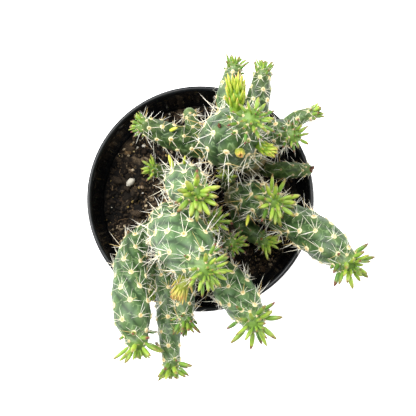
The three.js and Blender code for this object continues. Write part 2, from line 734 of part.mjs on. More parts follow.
// The stems and buds, with a leafy crown as its own piece on each stem that has one. The base of
// a stem is cut to the shape of the parent and of any older stem that it presses against.
function buildPlant(stems) {
  const meshes = [];
  const cutters = [];
  stems.forEach((stem) => {
    const lastRow = stem.rows.length - 3;
    const topRow = stem.hasCrown() ? stem.stemRowCount - 1 : lastRow;
    let body = toSolid(stemSkin(stem, 0, topRow));
    cutters.filter((cutter) => presses(cutter.stem, stem)).forEach((cutter) => {
      body = body.subtract(cutter.solid);
    });
    const colour = stem.bud ? COLOURS[stem.bud] : COLOURS.stem;
    const name = stem.bud ? `bud_${stem.name}` : `stem_${stem.name}`;
    meshes.push(namedMesh(name, toGeometry(largestBody(body)), colour, 0.6));
    if (stem.hasCrown()) {
      const crown = merged(stemSkin(stem, topRow + 1, lastRow, 0, GAP));
      meshes.push(namedMesh(`leaves_${stem.name}`, crown, COLOURS.leaves, 0.5));
    }
    cutters.push({ stem, solid: toSolid(stemSkin(stem, 0, lastRow, JUNCTION_GAP)) });
  });
  return meshes;
}

// Whether two stems come so near that the younger one has to be cut.
function presses(older, younger) {
  return older.beads.some((a) => younger.beads.some((b) => (
    a.centre.distanceTo(b.centre) < a.radius + b.radius + 2 * JUNCTION_GAP
  )));
}

function growPlant() {
  const stems = STEMS.map((spec, index) => new Stem(spec, index));
  const surroundings = new Surroundings(stems);
  stems.filter((stem) => stem.leaf > 0).forEach((stem) => {
    stem.sites.filter(({ row }) => stem.bud || row >= stem.stemRowCount).forEach((site) => {
      const inner = site.row > stem.stemRowCount;
      growLeaf(stem, site, surroundings, stem.lift + (inner ? 24 : 0));
    });
  });
  stems.filter((stem) => !stem.bud).forEach((stem) => {
    stem.sites.filter(({ row }) => row % 2 === 0 && (row < stem.stemRowCount || !stem.leaf))
      .forEach((site) => growSpines(stem, site, surroundings));
  });
  return stems;
}

const stems = growPlant();
const group = new THREE.Group();
group.add(buildPot(), buildSoil(stems), ...buildPlant(stems));

export default group;
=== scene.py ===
"""The looks of a potted cholla cactus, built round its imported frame.

Lengths are millimetres until a mesh is finished. Its vertices are scaled to metres then, and every
object stays at the origin, so that each piece lies where the frame has it.
"""

import logging
import math
from dataclasses import dataclass, field, replace
from enum import Enum
from functools import cached_property
from typing import Callable, Optional, Sequence

import bmesh
import bpy
import numpy as np
from mathutils import Matrix, Vector, noise


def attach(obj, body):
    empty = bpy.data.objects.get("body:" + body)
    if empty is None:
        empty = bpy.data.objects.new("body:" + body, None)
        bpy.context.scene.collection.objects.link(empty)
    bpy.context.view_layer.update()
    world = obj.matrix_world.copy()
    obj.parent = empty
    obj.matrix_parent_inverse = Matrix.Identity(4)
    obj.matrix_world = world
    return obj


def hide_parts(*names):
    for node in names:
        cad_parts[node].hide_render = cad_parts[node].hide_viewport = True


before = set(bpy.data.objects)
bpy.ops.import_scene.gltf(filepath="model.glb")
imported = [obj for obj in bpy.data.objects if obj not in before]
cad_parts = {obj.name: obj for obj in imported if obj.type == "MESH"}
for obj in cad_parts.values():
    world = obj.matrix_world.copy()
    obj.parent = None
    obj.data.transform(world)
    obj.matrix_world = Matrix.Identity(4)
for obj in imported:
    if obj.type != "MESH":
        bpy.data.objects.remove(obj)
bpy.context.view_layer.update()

LOG = logging.getLogger("cholla")

MM = 0.001
BODY = "root"
TURN = 2 * math.pi
DEGREE = math.pi / 180

Pair = tuple[float, float]
Triple = tuple[float, float, float]
Colour = tuple[float, float, float, float]
Points = np.ndarray
Values = np.ndarray
Shape = bmesh.types.BMesh
Mesh = bpy.types.Mesh
Piece = bpy.types.Object
Material = bpy.types.Material
Socket = bpy.types.NodeSocket
Tree = bpy.types.NodeTree
WHITE = (1.0, 1.0, 1.0, 1.0)


def shade(red: int, green: int, blue: int) -> Colour:
    """Give the linear colour of a red, green and blue as a screen shows them, from 0 to 255."""
    screen = np.array([red, green, blue]) / 255
    linear = np.where(screen <= 0.04045, screen / 12.92, ((screen + 0.055) / 1.055) ** 2.4)
    return (*(float(part) for part in linear), 1.0)


def unit(vectors: Points) -> Points:
    """Scale vectors to length 1."""
    return vectors / np.maximum(np.linalg.norm(vectors, axis=-1, keepdims=True), 1e-12)


def dot(first: Points, second: Points) -> Points:
    """Multiply vectors pairwise and keep the last axis."""
    return (first * second).sum(axis=-1, keepdims=True)


def smooth_step(low: float, high: float, value: Values) -> Values:
    """Rise softly from 0 at low to 1 at high."""
    share = np.clip((value - low) / (high - low), 0, 1)
    return share * share * (3 - 2 * share)


def draw(stem: Values, column: Values, row: Values, use: Values) -> Values:
    """Draw a repeatable number from 0 to 1 out of four whole numbers."""
    wave = np.sin(stem * 127.1 + column * 311.7 + row * 74.7 + use * 19.3) * 43758.5453
    return wave - np.floor(wave)


def swing(stem: Values, column: Values, row: Values, use: Values) -> Values:
    """Draw a repeatable number from -1 to 1."""
    return 2 * draw(stem, column, row, use) - 1


def ripple(points: Points, size: float, seed: float = 0.0) -> Values:
    """Give smooth noise from about -1 to 1 at each point.

    Args:
        points: Places in millimetres, one a row.
        size: Distance over which the noise changes.
        seed: Shift that makes a different pattern.

    Returns:
        One value for each point.
    """
    shift = Vector((seed * 17.3, seed * 5.7, seed * 11.9))
    return np.array([noise.noise(Vector(point) / size + shift) for point in points])


def mesh_points(mesh: Mesh) -> Points:
    """Read the vertices of a mesh as an array with a row for each."""
    flat = np.empty(len(mesh.vertices) * 3, dtype=np.float32)
    mesh.vertices.foreach_get("co", flat)
    return flat.reshape(-1, 3).astype(float)


def place_points(mesh: Mesh, points: Points) -> None:
    """Move the vertices of a mesh to places given in millimetres."""
    mesh.vertices.foreach_set("co", (points.reshape(-1, 3) * MM).astype(np.float32).ravel())
    mesh.update()


def mark_points(mesh: Mesh, **marks: Values) -> None:
    """Keep numbers for each vertex under their names, for the materials to read."""
    for name, values in marks.items():
        layer = mesh.attributes.new(name, "FLOAT", "POINT")
        layer.data.foreach_set("value", np.asarray(values, dtype=np.float32).ravel())


def as_mesh(name: str, shape: Shape) -> Mesh:
    """Turn a bmesh into a mesh and let it go."""
    mesh = bpy.data.meshes.new(name)
    shape.to_mesh(mesh)
    shape.free()
    return mesh


def tidied(shape: Shape, near: float) -> None:
    """Merge doubles nearer than a distance and turn the faces outward."""
    bmesh.ops.remove_doubles(shape, verts=shape.verts, dist=near)
    bmesh.ops.recalc_face_normals(shape, faces=shape.faces)


def spun(shape: Shape, sides: int, near: float) -> None:
    """Spin an outline all the way round the z axis and merge what is nearer than a distance."""
    outline = shape.verts[:] + shape.edges[:]
    bmesh.ops.spin(shape, geom=outline, cent=(0, 0, 0), axis=(0, 0, 1),
                   angle=TURN, steps=sides, use_merge=True)
    tidied(shape, near)


def in_scene(name: str, content: bpy.types.ID) -> Piece:
    """Put a mesh, a lamp or a camera in the scene."""
    made = bpy.data.objects.new(name, content)
    bpy.context.scene.collection.objects.link(made)
    return made


def add_piece(
    name: str,
    mesh: Mesh,
    material: Material,
    replaced: Sequence[str] = (),
) -> Piece:
    """Make a finished mesh a piece of the object.

    Args:
        name: Name of the piece.
        mesh: Its mesh, in place and in metres.
        material: Its only material.
        replaced: Nodes of the frame that it stands for.

    Returns:
        The new object, riding on the one body.
    """
    mesh.materials.clear()
    mesh.materials.append(material)
    mesh.polygons.foreach_set("use_smooth", [True] * len(mesh.polygons))
    piece = in_scene(name, mesh)
    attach(piece, BODY)
    if replaced:
        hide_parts(*replaced)
    return piece


class Template:
    """A small shape that is made once with bmesh operators and then repeated."""

    def __init__(self, name: str, build: Callable[[Shape], None]) -> None:
        """Build the shape.

        Args:
            name: Name of its mesh.
            build: Function that fills an empty bmesh.
        """
        shape = bmesh.new()
        build(shape)
        tidied(shape, 1e-5)
        self.mesh = as_mesh(name, shape)
        self.points = mesh_points(self.mesh)

    def copies(self, points: Points, every: dict[str, Values], **each: Values) -> Mesh:
        """Build a mesh of placed and marked copies.

        Args:
            points: The vertices of all copies, one copy after another, in millimetres.
            every: Marks on the vertices of a copy, the same for every one.
            each: Marks with one value for each copy.

        Returns:
            The mesh.
        """
        count = points.size // self.points.size
        mesh = self.repeated(count)
        place_points(mesh, points)
        mark_points(mesh, **{name: np.tile(values, count) for name, values in every.items()})
        mark_points(mesh, **{name: np.repeat(values, len(self.points)) for name, values in each.items()})
        return mesh

    def repeated(self, count: int) -> Mesh:
        """Join copies in one mesh, the vertices of each copy after those of the last."""
        joined = bmesh.new()
        block = self.mesh.copy()
        left = count
        while left > 0:
            if left % 2:
                joined.from_mesh(block)
            left //= 2
            doubled = bmesh.new()
            doubled.from_mesh(block)
            doubled.from_mesh(block)
            doubled.to_mesh(block)
            doubled.free()
        bpy.data.meshes.remove(block)
        return as_mesh(self.mesh.name, joined)


def needle(sides: int, cuts: Sequence[float]) -> Callable[[Shape], None]:
    """Describe a cone of length 1 and radius 1 that can bend at its cuts."""

    def build(shape: Shape) -> None:
        bmesh.ops.create_cone(
            shape, cap_ends=True, cap_tris=False, segments=sides, radius1=1, radius2=0, depth=1
        )
        bmesh.ops.translate(shape, verts=shape.verts, vec=(0, 0, 0.5))
        for height in cuts:
            everything = shape.verts[:] + shape.edges[:] + shape.faces[:]
            bmesh.ops.bisect_plane(shape, geom=everything, plane_co=(0, 0, height), plane_no=(0, 0, 1))

    return build


def ball(around: int, along: int) -> Callable[[Shape], None]:
    """Describe a ball of radius 1 with poles at its ends."""

    def build(shape: Shape) -> None:
        bmesh.ops.create_uvsphere(shape, u_segments=around, v_segments=along, radius=1)

    return build


def pebble(splits: int) -> Callable[[Shape], None]:
    """Describe an even ball of radius 1 without poles."""

    def build(shape: Shape) -> None:
        bmesh.ops.create_icosphere(shape, subdivisions=splits, radius=1)

    return build


def swept(ring: Points, share: Values, path: Points, wide: Points, width: Values) -> Points:
    """Place copies of a long shape along bent paths.

    Args:
        ring: Place of each template vertex across the shape, in half widths.
        share: Place of each template vertex from the root (0) to the tip (1).
        path: Root, bend and tip of each copy.
        wide: Direction across each copy.
        width: Half width of each copy.

    Returns:
        The vertices of all the copies, one copy after another.
    """
    root, bend, tip = (path[:, None, k] for k in range(3))
    part = share[None, :, None]
    centre = (1 - part) ** 2 * root + 2 * part * (1 - part) * bend + part**2 * tip
    along = unit((1 - part) * (bend - root) + part * (tip - bend))
    across = unit(wide[:, None] - along * dot(wide[:, None], along))
    high = np.cross(along, across)
    size = width[:, None, None]
    placed = centre + size * (across * ring[None, :, :1] + high * ring[None, :, 1:])
    return placed.reshape(-1, 3)


def any_across(directions: Points) -> Points:
    """Give a direction at right angles to each of the given ones."""
    helper = np.where(np.abs(directions[:, 2:]) < 0.9, [[0.0, 0.0, 1.0]], [[1.0, 0.0, 0.0]])
    return unit(np.cross(directions, helper))


def strands(template: Template, path: Points, width: Values, tint: Values, blunt: bool = True) -> Mesh:
    """Build a mesh of bent needles.

    Args:
        template: The needle that is repeated.
        path: Root, bend and tip of each.
        width: Half width of each at its root.
        tint: Shade of each, from 0 to 1.
        blunt: Whether they stay thick for most of their length.

    Returns:
        The mesh, with along and tint on its vertices.
    """
    ring, share = template.points[:, :2], template.points[:, 2]
    if blunt:
        ring = unit(ring + 1e-9) * np.sqrt(1 - np.clip(share, 0, 1))[:, None]
    points = swept(ring, share, path, any_across(unit(path[:, 2] - path[:, 0])), width)
    return template.copies(points, {"along": share}, tint=tint)


def random_turns(generator: np.random.Generator, count: int) -> Points:
    """Draw turns in all directions, as one 3 by 3 matrix each."""
    w, x, y, z = unit(generator.normal(size=(count, 4))).T
    rows = [
        [1 - 2 * (y * y + z * z), 2 * (x * y - z * w), 2 * (x * z + y * w)],
        [2 * (x * y + z * w), 1 - 2 * (x * x + z * z), 2 * (y * z - x * w)],
        [2 * (x * z - y * w), 2 * (y * z + x * w), 1 - 2 * (x * x + y * y)],
    ]
    return np.moveaxis(np.array(rows), 2, 0)


class NodeWork:
    """A node tree in the making: adds nodes, sets their values and joins them."""

    def __init__(self, tree: Tree) -> None:
        """Work on a tree that exists."""
        self.tree = tree

    def node(self, kind: str, inputs: Optional[dict] = None, **settings: object) -> bpy.types.Node:
        """Add a node.

        Args:
            kind: Blender's name for the kind of node.
            inputs: Values or output sockets for its inputs, by name or number.
            settings: Its other settings.

        Returns:
            The new node.
        """
        made = self.tree.nodes.new(kind)
        for name, value in settings.items():
            setattr(made, name, value)
        for name, value in (inputs or {}).items():
            self.feed(made.inputs[name], value)
        return made

    def feed(self, socket: Socket, value: object) -> None:
        """Join an output to an input, or set the input's own value."""
        if isinstance(value, Socket):
            self.tree.links.new(value, socket)
        else:
            socket.default_value = value

    def mix(self, factor: object, first: object, second: object, blend: str = "MIX") -> Socket:
        """Blend two colours."""
        made = self.node("ShaderNodeMix", data_type="RGBA", blend_type=blend, clamp_result=True)
        for socket, value in ((made.inputs[0], factor), (made.inputs[6], first), (made.inputs[7], second)):
            self.feed(socket, value)
        return made.outputs[2]

    def blend(self, factor: object, first: object, second: object) -> Socket:
        """Blend two numbers."""
        return self.node("ShaderNodeMix", {0: factor, 2: first, 3: second}, data_type="FLOAT").outputs[0]

    def times(self, first: object, second: object) -> Socket:
        """Multiply two numbers and keep the result between 0 and 1."""
        inputs = {0: first, 1: second}
        return self.node("ShaderNodeMath", inputs, operation="MULTIPLY", use_clamp=True).outputs[0]

    def plus(self, first: object, second: object) -> Socket:
        """Add two numbers."""
        return self.node("ShaderNodeMath", {0: first, 1: second}, operation="ADD").outputs[0]

    def remap(self, value: object, low: float, high: object, start: float = 0.0, end: float = 1.0) -> Socket:
        """Move the range from low to high softly onto the range from start to end."""
        inputs = {0: value, 1: low, 2: high, 3: start, 4: end}
        return self.node("ShaderNodeMapRange", inputs, interpolation_type="SMOOTHSTEP").outputs[0]

    def ramp(self, factor: object, stops: Sequence[tuple[float, Colour]]) -> Socket:
        """Read a colour off a scale of colour stops."""
        made = self.node("ShaderNodeValToRGB", {0: factor})
        scale = made.color_ramp.elements
        for end, (place, colour) in ((0, stops[0]), (-1, stops[-1])):
            scale[end].position = place
            scale[end].color = colour
        for place, colour in stops[1:-1]:
            scale.new(place).color = colour
        return made.outputs[0]

    def places(self, squash: Triple = (1, 1, 1)) -> Socket:
        """Give the object's own coordinates, scaled along its axes."""
        source = self.node("ShaderNodeTexCoord").outputs["Object"]
        return self.node("ShaderNodeMapping", {"Vector": source, "Scale": squash}).outputs[0]

    def noise(self, places: object, scale: object, detail: float = 4.0, rough: float = 0.55) -> Socket:
        """Give cloudy noise, from 0 to 1."""
        inputs = {"Vector": places, "Scale": scale, "Detail": detail, "Roughness": rough}
        return self.node("ShaderNodeTexNoise", inputs).outputs[0]

    def cells(self, places: object, scale: object, feature: str = "F1") -> Socket:
        """Give the distance to the nearest cell centre or edge."""
        inputs = {"Vector": places, "Scale": scale}
        return self.node("ShaderNodeTexVoronoi", inputs, feature=feature).outputs["Distance"]

    def upward(self, vector: object) -> Socket:
        """Give the upward part of a vector."""
        return self.node("ShaderNodeSeparateXYZ", {0: vector}).outputs["Z"]

    def mark(self, name: str) -> Socket:
        """Read a number kept on the vertices."""
        return self.node("ShaderNodeAttribute", attribute_name=name).outputs["Fac"]

    def effect(self, group: Tree, **inputs: object) -> bpy.types.Node:
        """Add a shared effect, with its inputs by name."""
        made = self.node("ShaderNodeGroup", node_tree=group)
        for name, value in inputs.items():
            self.feed(made.inputs[name], value)
        return made


class Effect(NodeWork):
    """A node group that several finishes share."""

    def __init__(self, name: str, inputs: dict[str, object], outputs: dict[str, str]) -> None:
        """Start a group.

        Args:
            name: Name of the group.
            inputs: Name and first value of each input.
            outputs: Name and socket type of each output.
        """
        super().__init__(bpy.data.node_groups.new(name, "ShaderNodeTree"))
        for label, value in inputs.items():
            kind = "NodeSocketColor" if isinstance(value, tuple) else "NodeSocketFloat"
            self.tree.interface.new_socket(label, in_out="INPUT", socket_type=kind).default_value = value
        for label, kind in outputs.items():
            self.tree.interface.new_socket(label, in_out="OUTPUT", socket_type=kind)
        self.given = self.node("NodeGroupInput").outputs
        self.result = self.node("NodeGroupOutput").inputs


class Effects:
    """The shared effects: mottled colour, fine relief, veins and dust, each built when first asked for."""

    @cached_property
    def mottle(self) -> Tree:
        """Colour that drifts between two shades, with smaller flecks inside the drift."""
        grey = (0.5, 0.5, 0.5, 1.0)
        work = Effect("mottle", {"Dark": grey, "Light": grey, "Scale": 200.0, "Flecks": 0.4},
                      {"Color": "NodeSocketColor"})
        places = work.places()
        drift = work.remap(work.noise(places, work.given["Scale"], 3), 0.32, 0.68)
        finer = work.node("ShaderNodeMath", {0: work.given["Scale"], 1: 5.0}, operation="MULTIPLY")
        flecks = work.remap(work.noise(places, finer.outputs[0], 5, 0.7), 0.4, 0.62)
        mask = work.blend(work.given["Flecks"], drift, flecks)
        work.feed(work.result["Color"], work.mix(mask, work.given["Dark"], work.given["Light"]))
        return work.tree

    @cached_property
    def relief(self) -> Tree:
        """Height of a surface with soft unevenness and a finer grain on it."""
        work = Effect("fine_relief", {"Scale": 300.0, "Grain": 1500.0, "Grain Share": 0.4},
                      {"Height": "NodeSocketFloat"})
        places = work.places()
        soft = work.noise(places, work.given["Scale"], 3)
        grain = work.noise(places, work.given["Grain"], 4, 0.65)
        work.feed(work.result["Height"], work.blend(work.given["Grain Share"], soft, grain))
        return work.tree

    @cached_property
    def veins(self) -> Tree:
        """Thin lines of a broken net."""
        work = Effect("veins", {"Scale": 400.0, "Width": 0.07}, {"Mask": "NodeSocketFloat"})
        places = work.places()
        inputs = {0: work.noise(places, 150.0, 2), 1: (0.004, 0.003, 0.005), 2: places}
        bent = work.node("ShaderNodeVectorMath", inputs, operation="MULTIPLY_ADD")
        edge = work.cells(bent.outputs[0], work.given["Scale"], "DISTANCE_TO_EDGE")
        line = work.remap(edge, 0.0, work.given["Width"], 1.0, 0.0)
        broken = work.remap(work.noise(places, 500.0, 2), 0.42, 0.6)
        work.feed(work.result["Mask"], work.times(line, broken))
        return work.tree

    @cached_property
    def dust(self) -> Tree:
        """Mask of dust and crumbs that lie on what faces up."""
        work = Effect("dust", {"Amount": 0.3, "Scale": 300.0}, {"Mask": "NodeSocketFloat"})
        facing = work.node("ShaderNodeNewGeometry").outputs["Normal"]
        lying = work.remap(work.upward(facing), -0.2, 0.9, 0.25, 1.0)
        places = work.places()
        patches = work.remap(work.noise(places, work.given["Scale"], 6, 0.7), 0.45, 0.75)
        work.feed(work.result["Mask"], work.times(work.times(patches, lying), work.given["Amount"]))
        return work.tree


class SurfaceWork(NodeWork):
    """The node tree of a material, with its Principled shader."""

    effects = Effects()

    def __init__(self, tree: Tree, roughness: float) -> None:
        """Start with a plain surface of some roughness."""
        super().__init__(tree)
        tree.nodes.clear()
        self.surface = self.node("ShaderNodeBsdfPrincipled", {"Roughness": roughness})
        self.node("ShaderNodeOutputMaterial", {"Surface": self.surface.outputs[0]})

    def set(self, name: str, value: object) -> None:
        """Set or feed one input of the shader."""
        self.feed(self.surface.inputs[name], value)

    def mottled(self, dark: Colour, light: Colour, scale: float, flecks: float) -> Socket:
        """Give a colour that drifts between two shades."""
        made = self.effect(self.effects.mottle, Dark=dark, Light=light, Scale=scale, Flecks=flecks)
        return made.outputs["Color"]

    def roughen(self, scale: float, grain: float, share: float, depth: float, strength: float = 1.0) -> None:
        """Raise the surface by the fine relief.

        Args:
            scale: Scale of its soft unevenness.
            grain: Scale of its grain.
            share: How much of it is grain.
            depth: Its depth in millimetres.
            strength: How much of it shows.
        """
        sizes = {"Scale": scale, "Grain": grain, "Grain Share": share}
        height = self.effect(self.effects.relief, **sizes).outputs["Height"]
        inputs = {"Height": height, "Distance": depth * MM, "Strength": strength}
        self.set("Normal", self.node("ShaderNodeBump", inputs).outputs[0])


@dataclass(frozen=True)
class Finish:
    """What a piece is made of, with the name of its material and its roughness."""

    name: str
    roughness: float

    def material(self) -> Material:
        """Build the material."""
        made = bpy.data.materials.new(self.name)
        made.use_nodes = True
        self.paint(SurfaceWork(made.node_tree, self.roughness))
        return made

    def paint(self, work: SurfaceWork) -> None:
        """Colour the surface; each finish has its own way."""
        raise NotImplementedError


@dataclass(frozen=True)
class SkinFinish(Finish):
    """The waxy green skin of the stems."""

    name: str = "stem_skin"
    roughness: float = 0.47
    deep: Colour = shade(18, 42, 13)
    green: Colour = shade(48, 78, 31)
    # Colour of painted shade: the valleys between the tubercles and the stems that stand in shade are
    # darkened towards it.
    valley: Colour = shade(14, 34, 12)
    # Pale wax colour, also used as painted light on the stems that stand in the light.
    bloom: Colour = shade(95, 130, 84)
    vein: Colour = shade(152, 178, 124)
    collar: Colour = shade(120, 142, 76)
    young: Colour = shade(112, 146, 56)
    cork: Colour = shade(128, 114, 76)

    def paint(self, work: SurfaceWork) -> None:
        """Colour it by the relief, collar, pale wax with painted light, young and age of each vertex; the
        valleys between the tubercles and the stems in shade get painted shade.
        """
        body = work.mottled(self.deep, self.green, 140.0, 0.3)
        relief = work.mark("relief")
        # The crests of the tubercles take more of the pale colour: partly wax, partly a painted highlight.
        crest_wax_and_highlight = work.remap(relief, 0.0, 0.9, 0.35, 1.0)
        powder = work.remap(work.noise(work.places(), 230.0, 5, 0.65), 0.3, 0.7, 0.55, 1.0)
        colour = work.mix(work.times(work.times(work.mark("bloom"), crest_wax_and_highlight), powder), body, self.bloom)
        veins = work.effect(work.effects.veins, Scale=260.0, Width=0.09).outputs["Mask"]
        crackle = work.remap(work.noise(work.places((1, 1, 0.4)), 300.0, 6, 0.7), 0.35, 0.6, 0.35, 1.35)
        for factor, layer in (
            # Painted shade: below 0 the wax value darkens stems that stand in shade.
            (work.times(work.mark("bloom"), -1.0), self.valley),
            # Painted shade: the valleys between the tubercles are darkened.
            (work.remap(relief, 0.0, 0.34, 0.55, 0.0), self.valley),
            (work.times(veins, 0.45), self.vein),
            (work.times(work.mark("collar"), 0.5), self.collar),
            (work.times(work.mark("young"), 0.7), self.young),
            (work.times(work.mark("age"), crackle), self.cork),
        ):
            colour = work.mix(factor, colour, layer)
        work.set("Base Color", colour)
        work.set("Specular IOR Level", 0.42)
        work.roughen(420.0, 1900.0, 0.4, 0.22, 0.8)


@dataclass(frozen=True)
class LeafFinish(Finish):
    """A leaf's colours from its foot to its end, while young and when older, with a blushed tip."""

    young: tuple[Colour, Colour, Colour]
    old: tuple[Colour, Colour, Colour]
    blush: Colour
    blush_from: float

    def paint(self, work: SurfaceWork) -> None:
        """Colour it by the along, tint and blush of each vertex."""
        along = work.mark("along")
        young, old = (
            work.ramp(along, list(zip((0.0, 0.45, 0.9), shades))) for shades in (self.young, self.old)
        )
        colour = work.mix(work.mark("tint"), young, old)
        flecks = work.mottled((0.72, 0.78, 0.6, 1.0), WHITE, 420.0, 0.5)
        colour = work.mix(0.6, colour, work.mix(1.0, colour, flecks, "MULTIPLY"))
        reach = work.plus(along, work.remap(work.noise(work.places(), 700.0, 3), 0.3, 0.7, -0.09, 0.09))
        tip = work.times(work.remap(reach, self.blush_from, 0.97), work.mark("blush"))
        work.set("Base Color", work.mix(tip, colour, self.blush))
        work.set("Subsurface Weight", 0.12)
        work.set("Subsurface Radius", (0.001, 0.0012, 0.0004))
        work.set("Specular IOR Level", 0.45)
        work.roughen(600.0, 2600.0, 0.35, 0.12, 0.7)


@dataclass(frozen=True)
class SpineFinish(Finish):
    """A spine's colours from root to tip."""

    root: Colour
    shaft: Colour
    tip: Colour

    def paint(self, work: SurfaceWork) -> None:
        """Colour it by the along and tint of each vertex."""
        along = work.mark("along")
        stops = ((0.0, self.root), (0.18, self.shaft), (0.75, self.shaft), (1.0, self.tip))
        colour = work.ramp(along, stops)
        warmer = work.mix(1.0, colour, (0.95, 0.88, 0.74, 1.0), "MULTIPLY")
        colour = work.mix(work.mark("tint"), colour, warmer)
        streaks = work.mottled((0.88, 0.86, 0.8, 1.0), WHITE, 500.0, 0.5)
        work.set("Base Color", work.mix(1.0, colour, streaks, "MULTIPLY"))
        work.roughen(900.0, 3500.0, 0.5, 0.03, 0.6)


@dataclass(frozen=True)
class WoolFinish(Finish):
    """The felt of an areole, darker in its middle."""

    name: str = "areole_wool"
    roughness: float = 0.95
    rim: Colour = shade(232, 220, 176)
    felt: Colour = shade(220, 192, 122)
    heart: Colour = shade(172, 114, 58)
    old: Colour = shade(116, 96, 66)

    def paint(self, work: SurfaceWork) -> None:
        """Colour it by the heart, tint and age of each vertex."""
        cloud = work.remap(work.noise(work.places(), 1500.0, 4, 0.7), 0.3, 0.7, -0.25, 0.25)
        inward = work.plus(work.mark("heart"), cloud)
        colour = work.ramp(inward, [(0.1, self.rim), (0.55, self.felt), (0.95, self.heart)])
        colour = work.mix(work.mark("tint"), colour, work.mix(0.5, colour, self.rim))
        work.set("Base Color", work.mix(work.times(work.mark("age"), 0.8), colour, self.old))
        work.set("Sheen Weight", 0.35)
        work.set("Sheen Roughness", 0.5)
        work.roughen(1800.0, 5200.0, 0.5, 0.2)


@dataclass(frozen=True)
class PlasticFinish(Finish):
    """The glossy black plastic of the pot."""

    name: str = "pot_plastic"
    roughness: float = 0.2
    black: Colour = shade(8, 10, 13)
    worn: Colour = shade(15, 18, 22)
    dust: Colour = shade(84, 80, 74)
    lip_from: float = 88
    lip_to: float = 89.4
    lip_roughness: float = 0.2

    def paint(self, work: SurfaceWork) -> None:
        """Add faint scuffs, some soil dust and a duller lip."""
        body = work.mottled(self.black, self.worn, 60.0, 0.35)
        dust = work.effect(work.effects.dust, Amount=0.08, Scale=260.0).outputs["Mask"]
        work.set("Base Color", work.mix(dust, body, self.dust))
        scuffs = work.remap(work.noise(work.places((1, 1, 0.08)), 900.0, 4, 0.7), 0.5, 0.72, 0.0, 0.12)
        base = work.remap(work.noise(work.places(), 45.0, 3), 0.3, 0.7, 0.08, 0.16)
        height = work.upward(work.places())
        lip = work.remap(height, self.lip_from * MM, self.lip_to * MM, 0.0, self.lip_roughness)
        work.set("Roughness", work.plus(work.plus(base, scuffs), work.plus(work.times(dust, 0.6), lip)))
        work.set("Specular IOR Level", 0.35)
        work.roughen(70.0, 1300.0, 0.12, 0.35, 0.5)


@dataclass(frozen=True)
class EarthFinish(Finish):
    """One of the soil's ingredients: a range of shades, from the darkest piece to the lightest."""

    dark: Colour
    middle: Colour
    light: Colour
    grain: float = 1500.0
    depth: float = 0.3
    # Dark end of the random mottle: partly the soil's own darker bits, partly painted shade for the gaps
    # between grains.
    dark_soil_and_gap_shade: Colour = (0.16, 0.15, 0.14, 1.0)

    def paint(self, work: SurfaceWork) -> None:
        """Colour it by the tint of each vertex."""
        colour = work.ramp(work.mark("tint"), [(0.0, self.dark), (0.6, self.middle), (1.0, self.light)])
        # Random dark mottle over every grain, partly painted shade for the gaps between grains.
        cloud = work.mottled(self.dark_soil_and_gap_shade, WHITE, 360.0, 0.7)
        work.set("Base Color", work.mix(1.0, colour, cloud, "MULTIPLY"))
        work.set("Specular IOR Level", 0.25)
        work.roughen(600.0, self.grain, 0.5, self.depth)


@dataclass(frozen=True)
class PaperFinish(Finish):
    """The bright white paper under the pot."""

    name: str = "floor_paper"
    roughness: float = 0.9
    white: Colour = (0.8, 0.8, 0.8, 1.0)
    glow: float = 1.0

    def paint(self, work: SurfaceWork) -> None:
        """Make it white all over."""
        work.set("Base Color", self.white)
        work.set("Specular IOR Level", 0.1)
        work.set("Emission Color", WHITE)
        work.set("Emission Strength", self.glow)


class Bud(Enum):
    """The two colours of the young shoots on the heads of the main stems."""

    LIME = "lime_bud"
    GOLD = "gold_bud"


@dataclass(frozen=True)
class StemPlan:
    """A stem or bud, with its centreline from base to tip as (x, y, z, radius).

    The wax value is partly how much pale wax covers its skin and partly painted light, set higher on stems
    that stand in the light; below 0 it is painted shade that darkens stems standing in shade. The lift of
    its leaves is their angle above sideways, in degrees. A stem with no leaf length ends in a bare spiny
    tip. Each areole has about as many spines as given. Slim is the share of the full width that the leaves
    have, and ripe says how dark and red they are.
    """

    name: str
    around: int
    pitch: float
    leaf: float
    lift: float
    bloom: float
    line: tuple[tuple[float, float, float, float], ...]
    bud: Optional[Bud] = None
    spines: int = 5
    slim: float = 0.9
    ripe: float = 0.3

    @property
    def node(self) -> str:
        """The frame's node for its body."""
        return f"bud_{self.name}" if self.bud else f"stem_{self.name}"
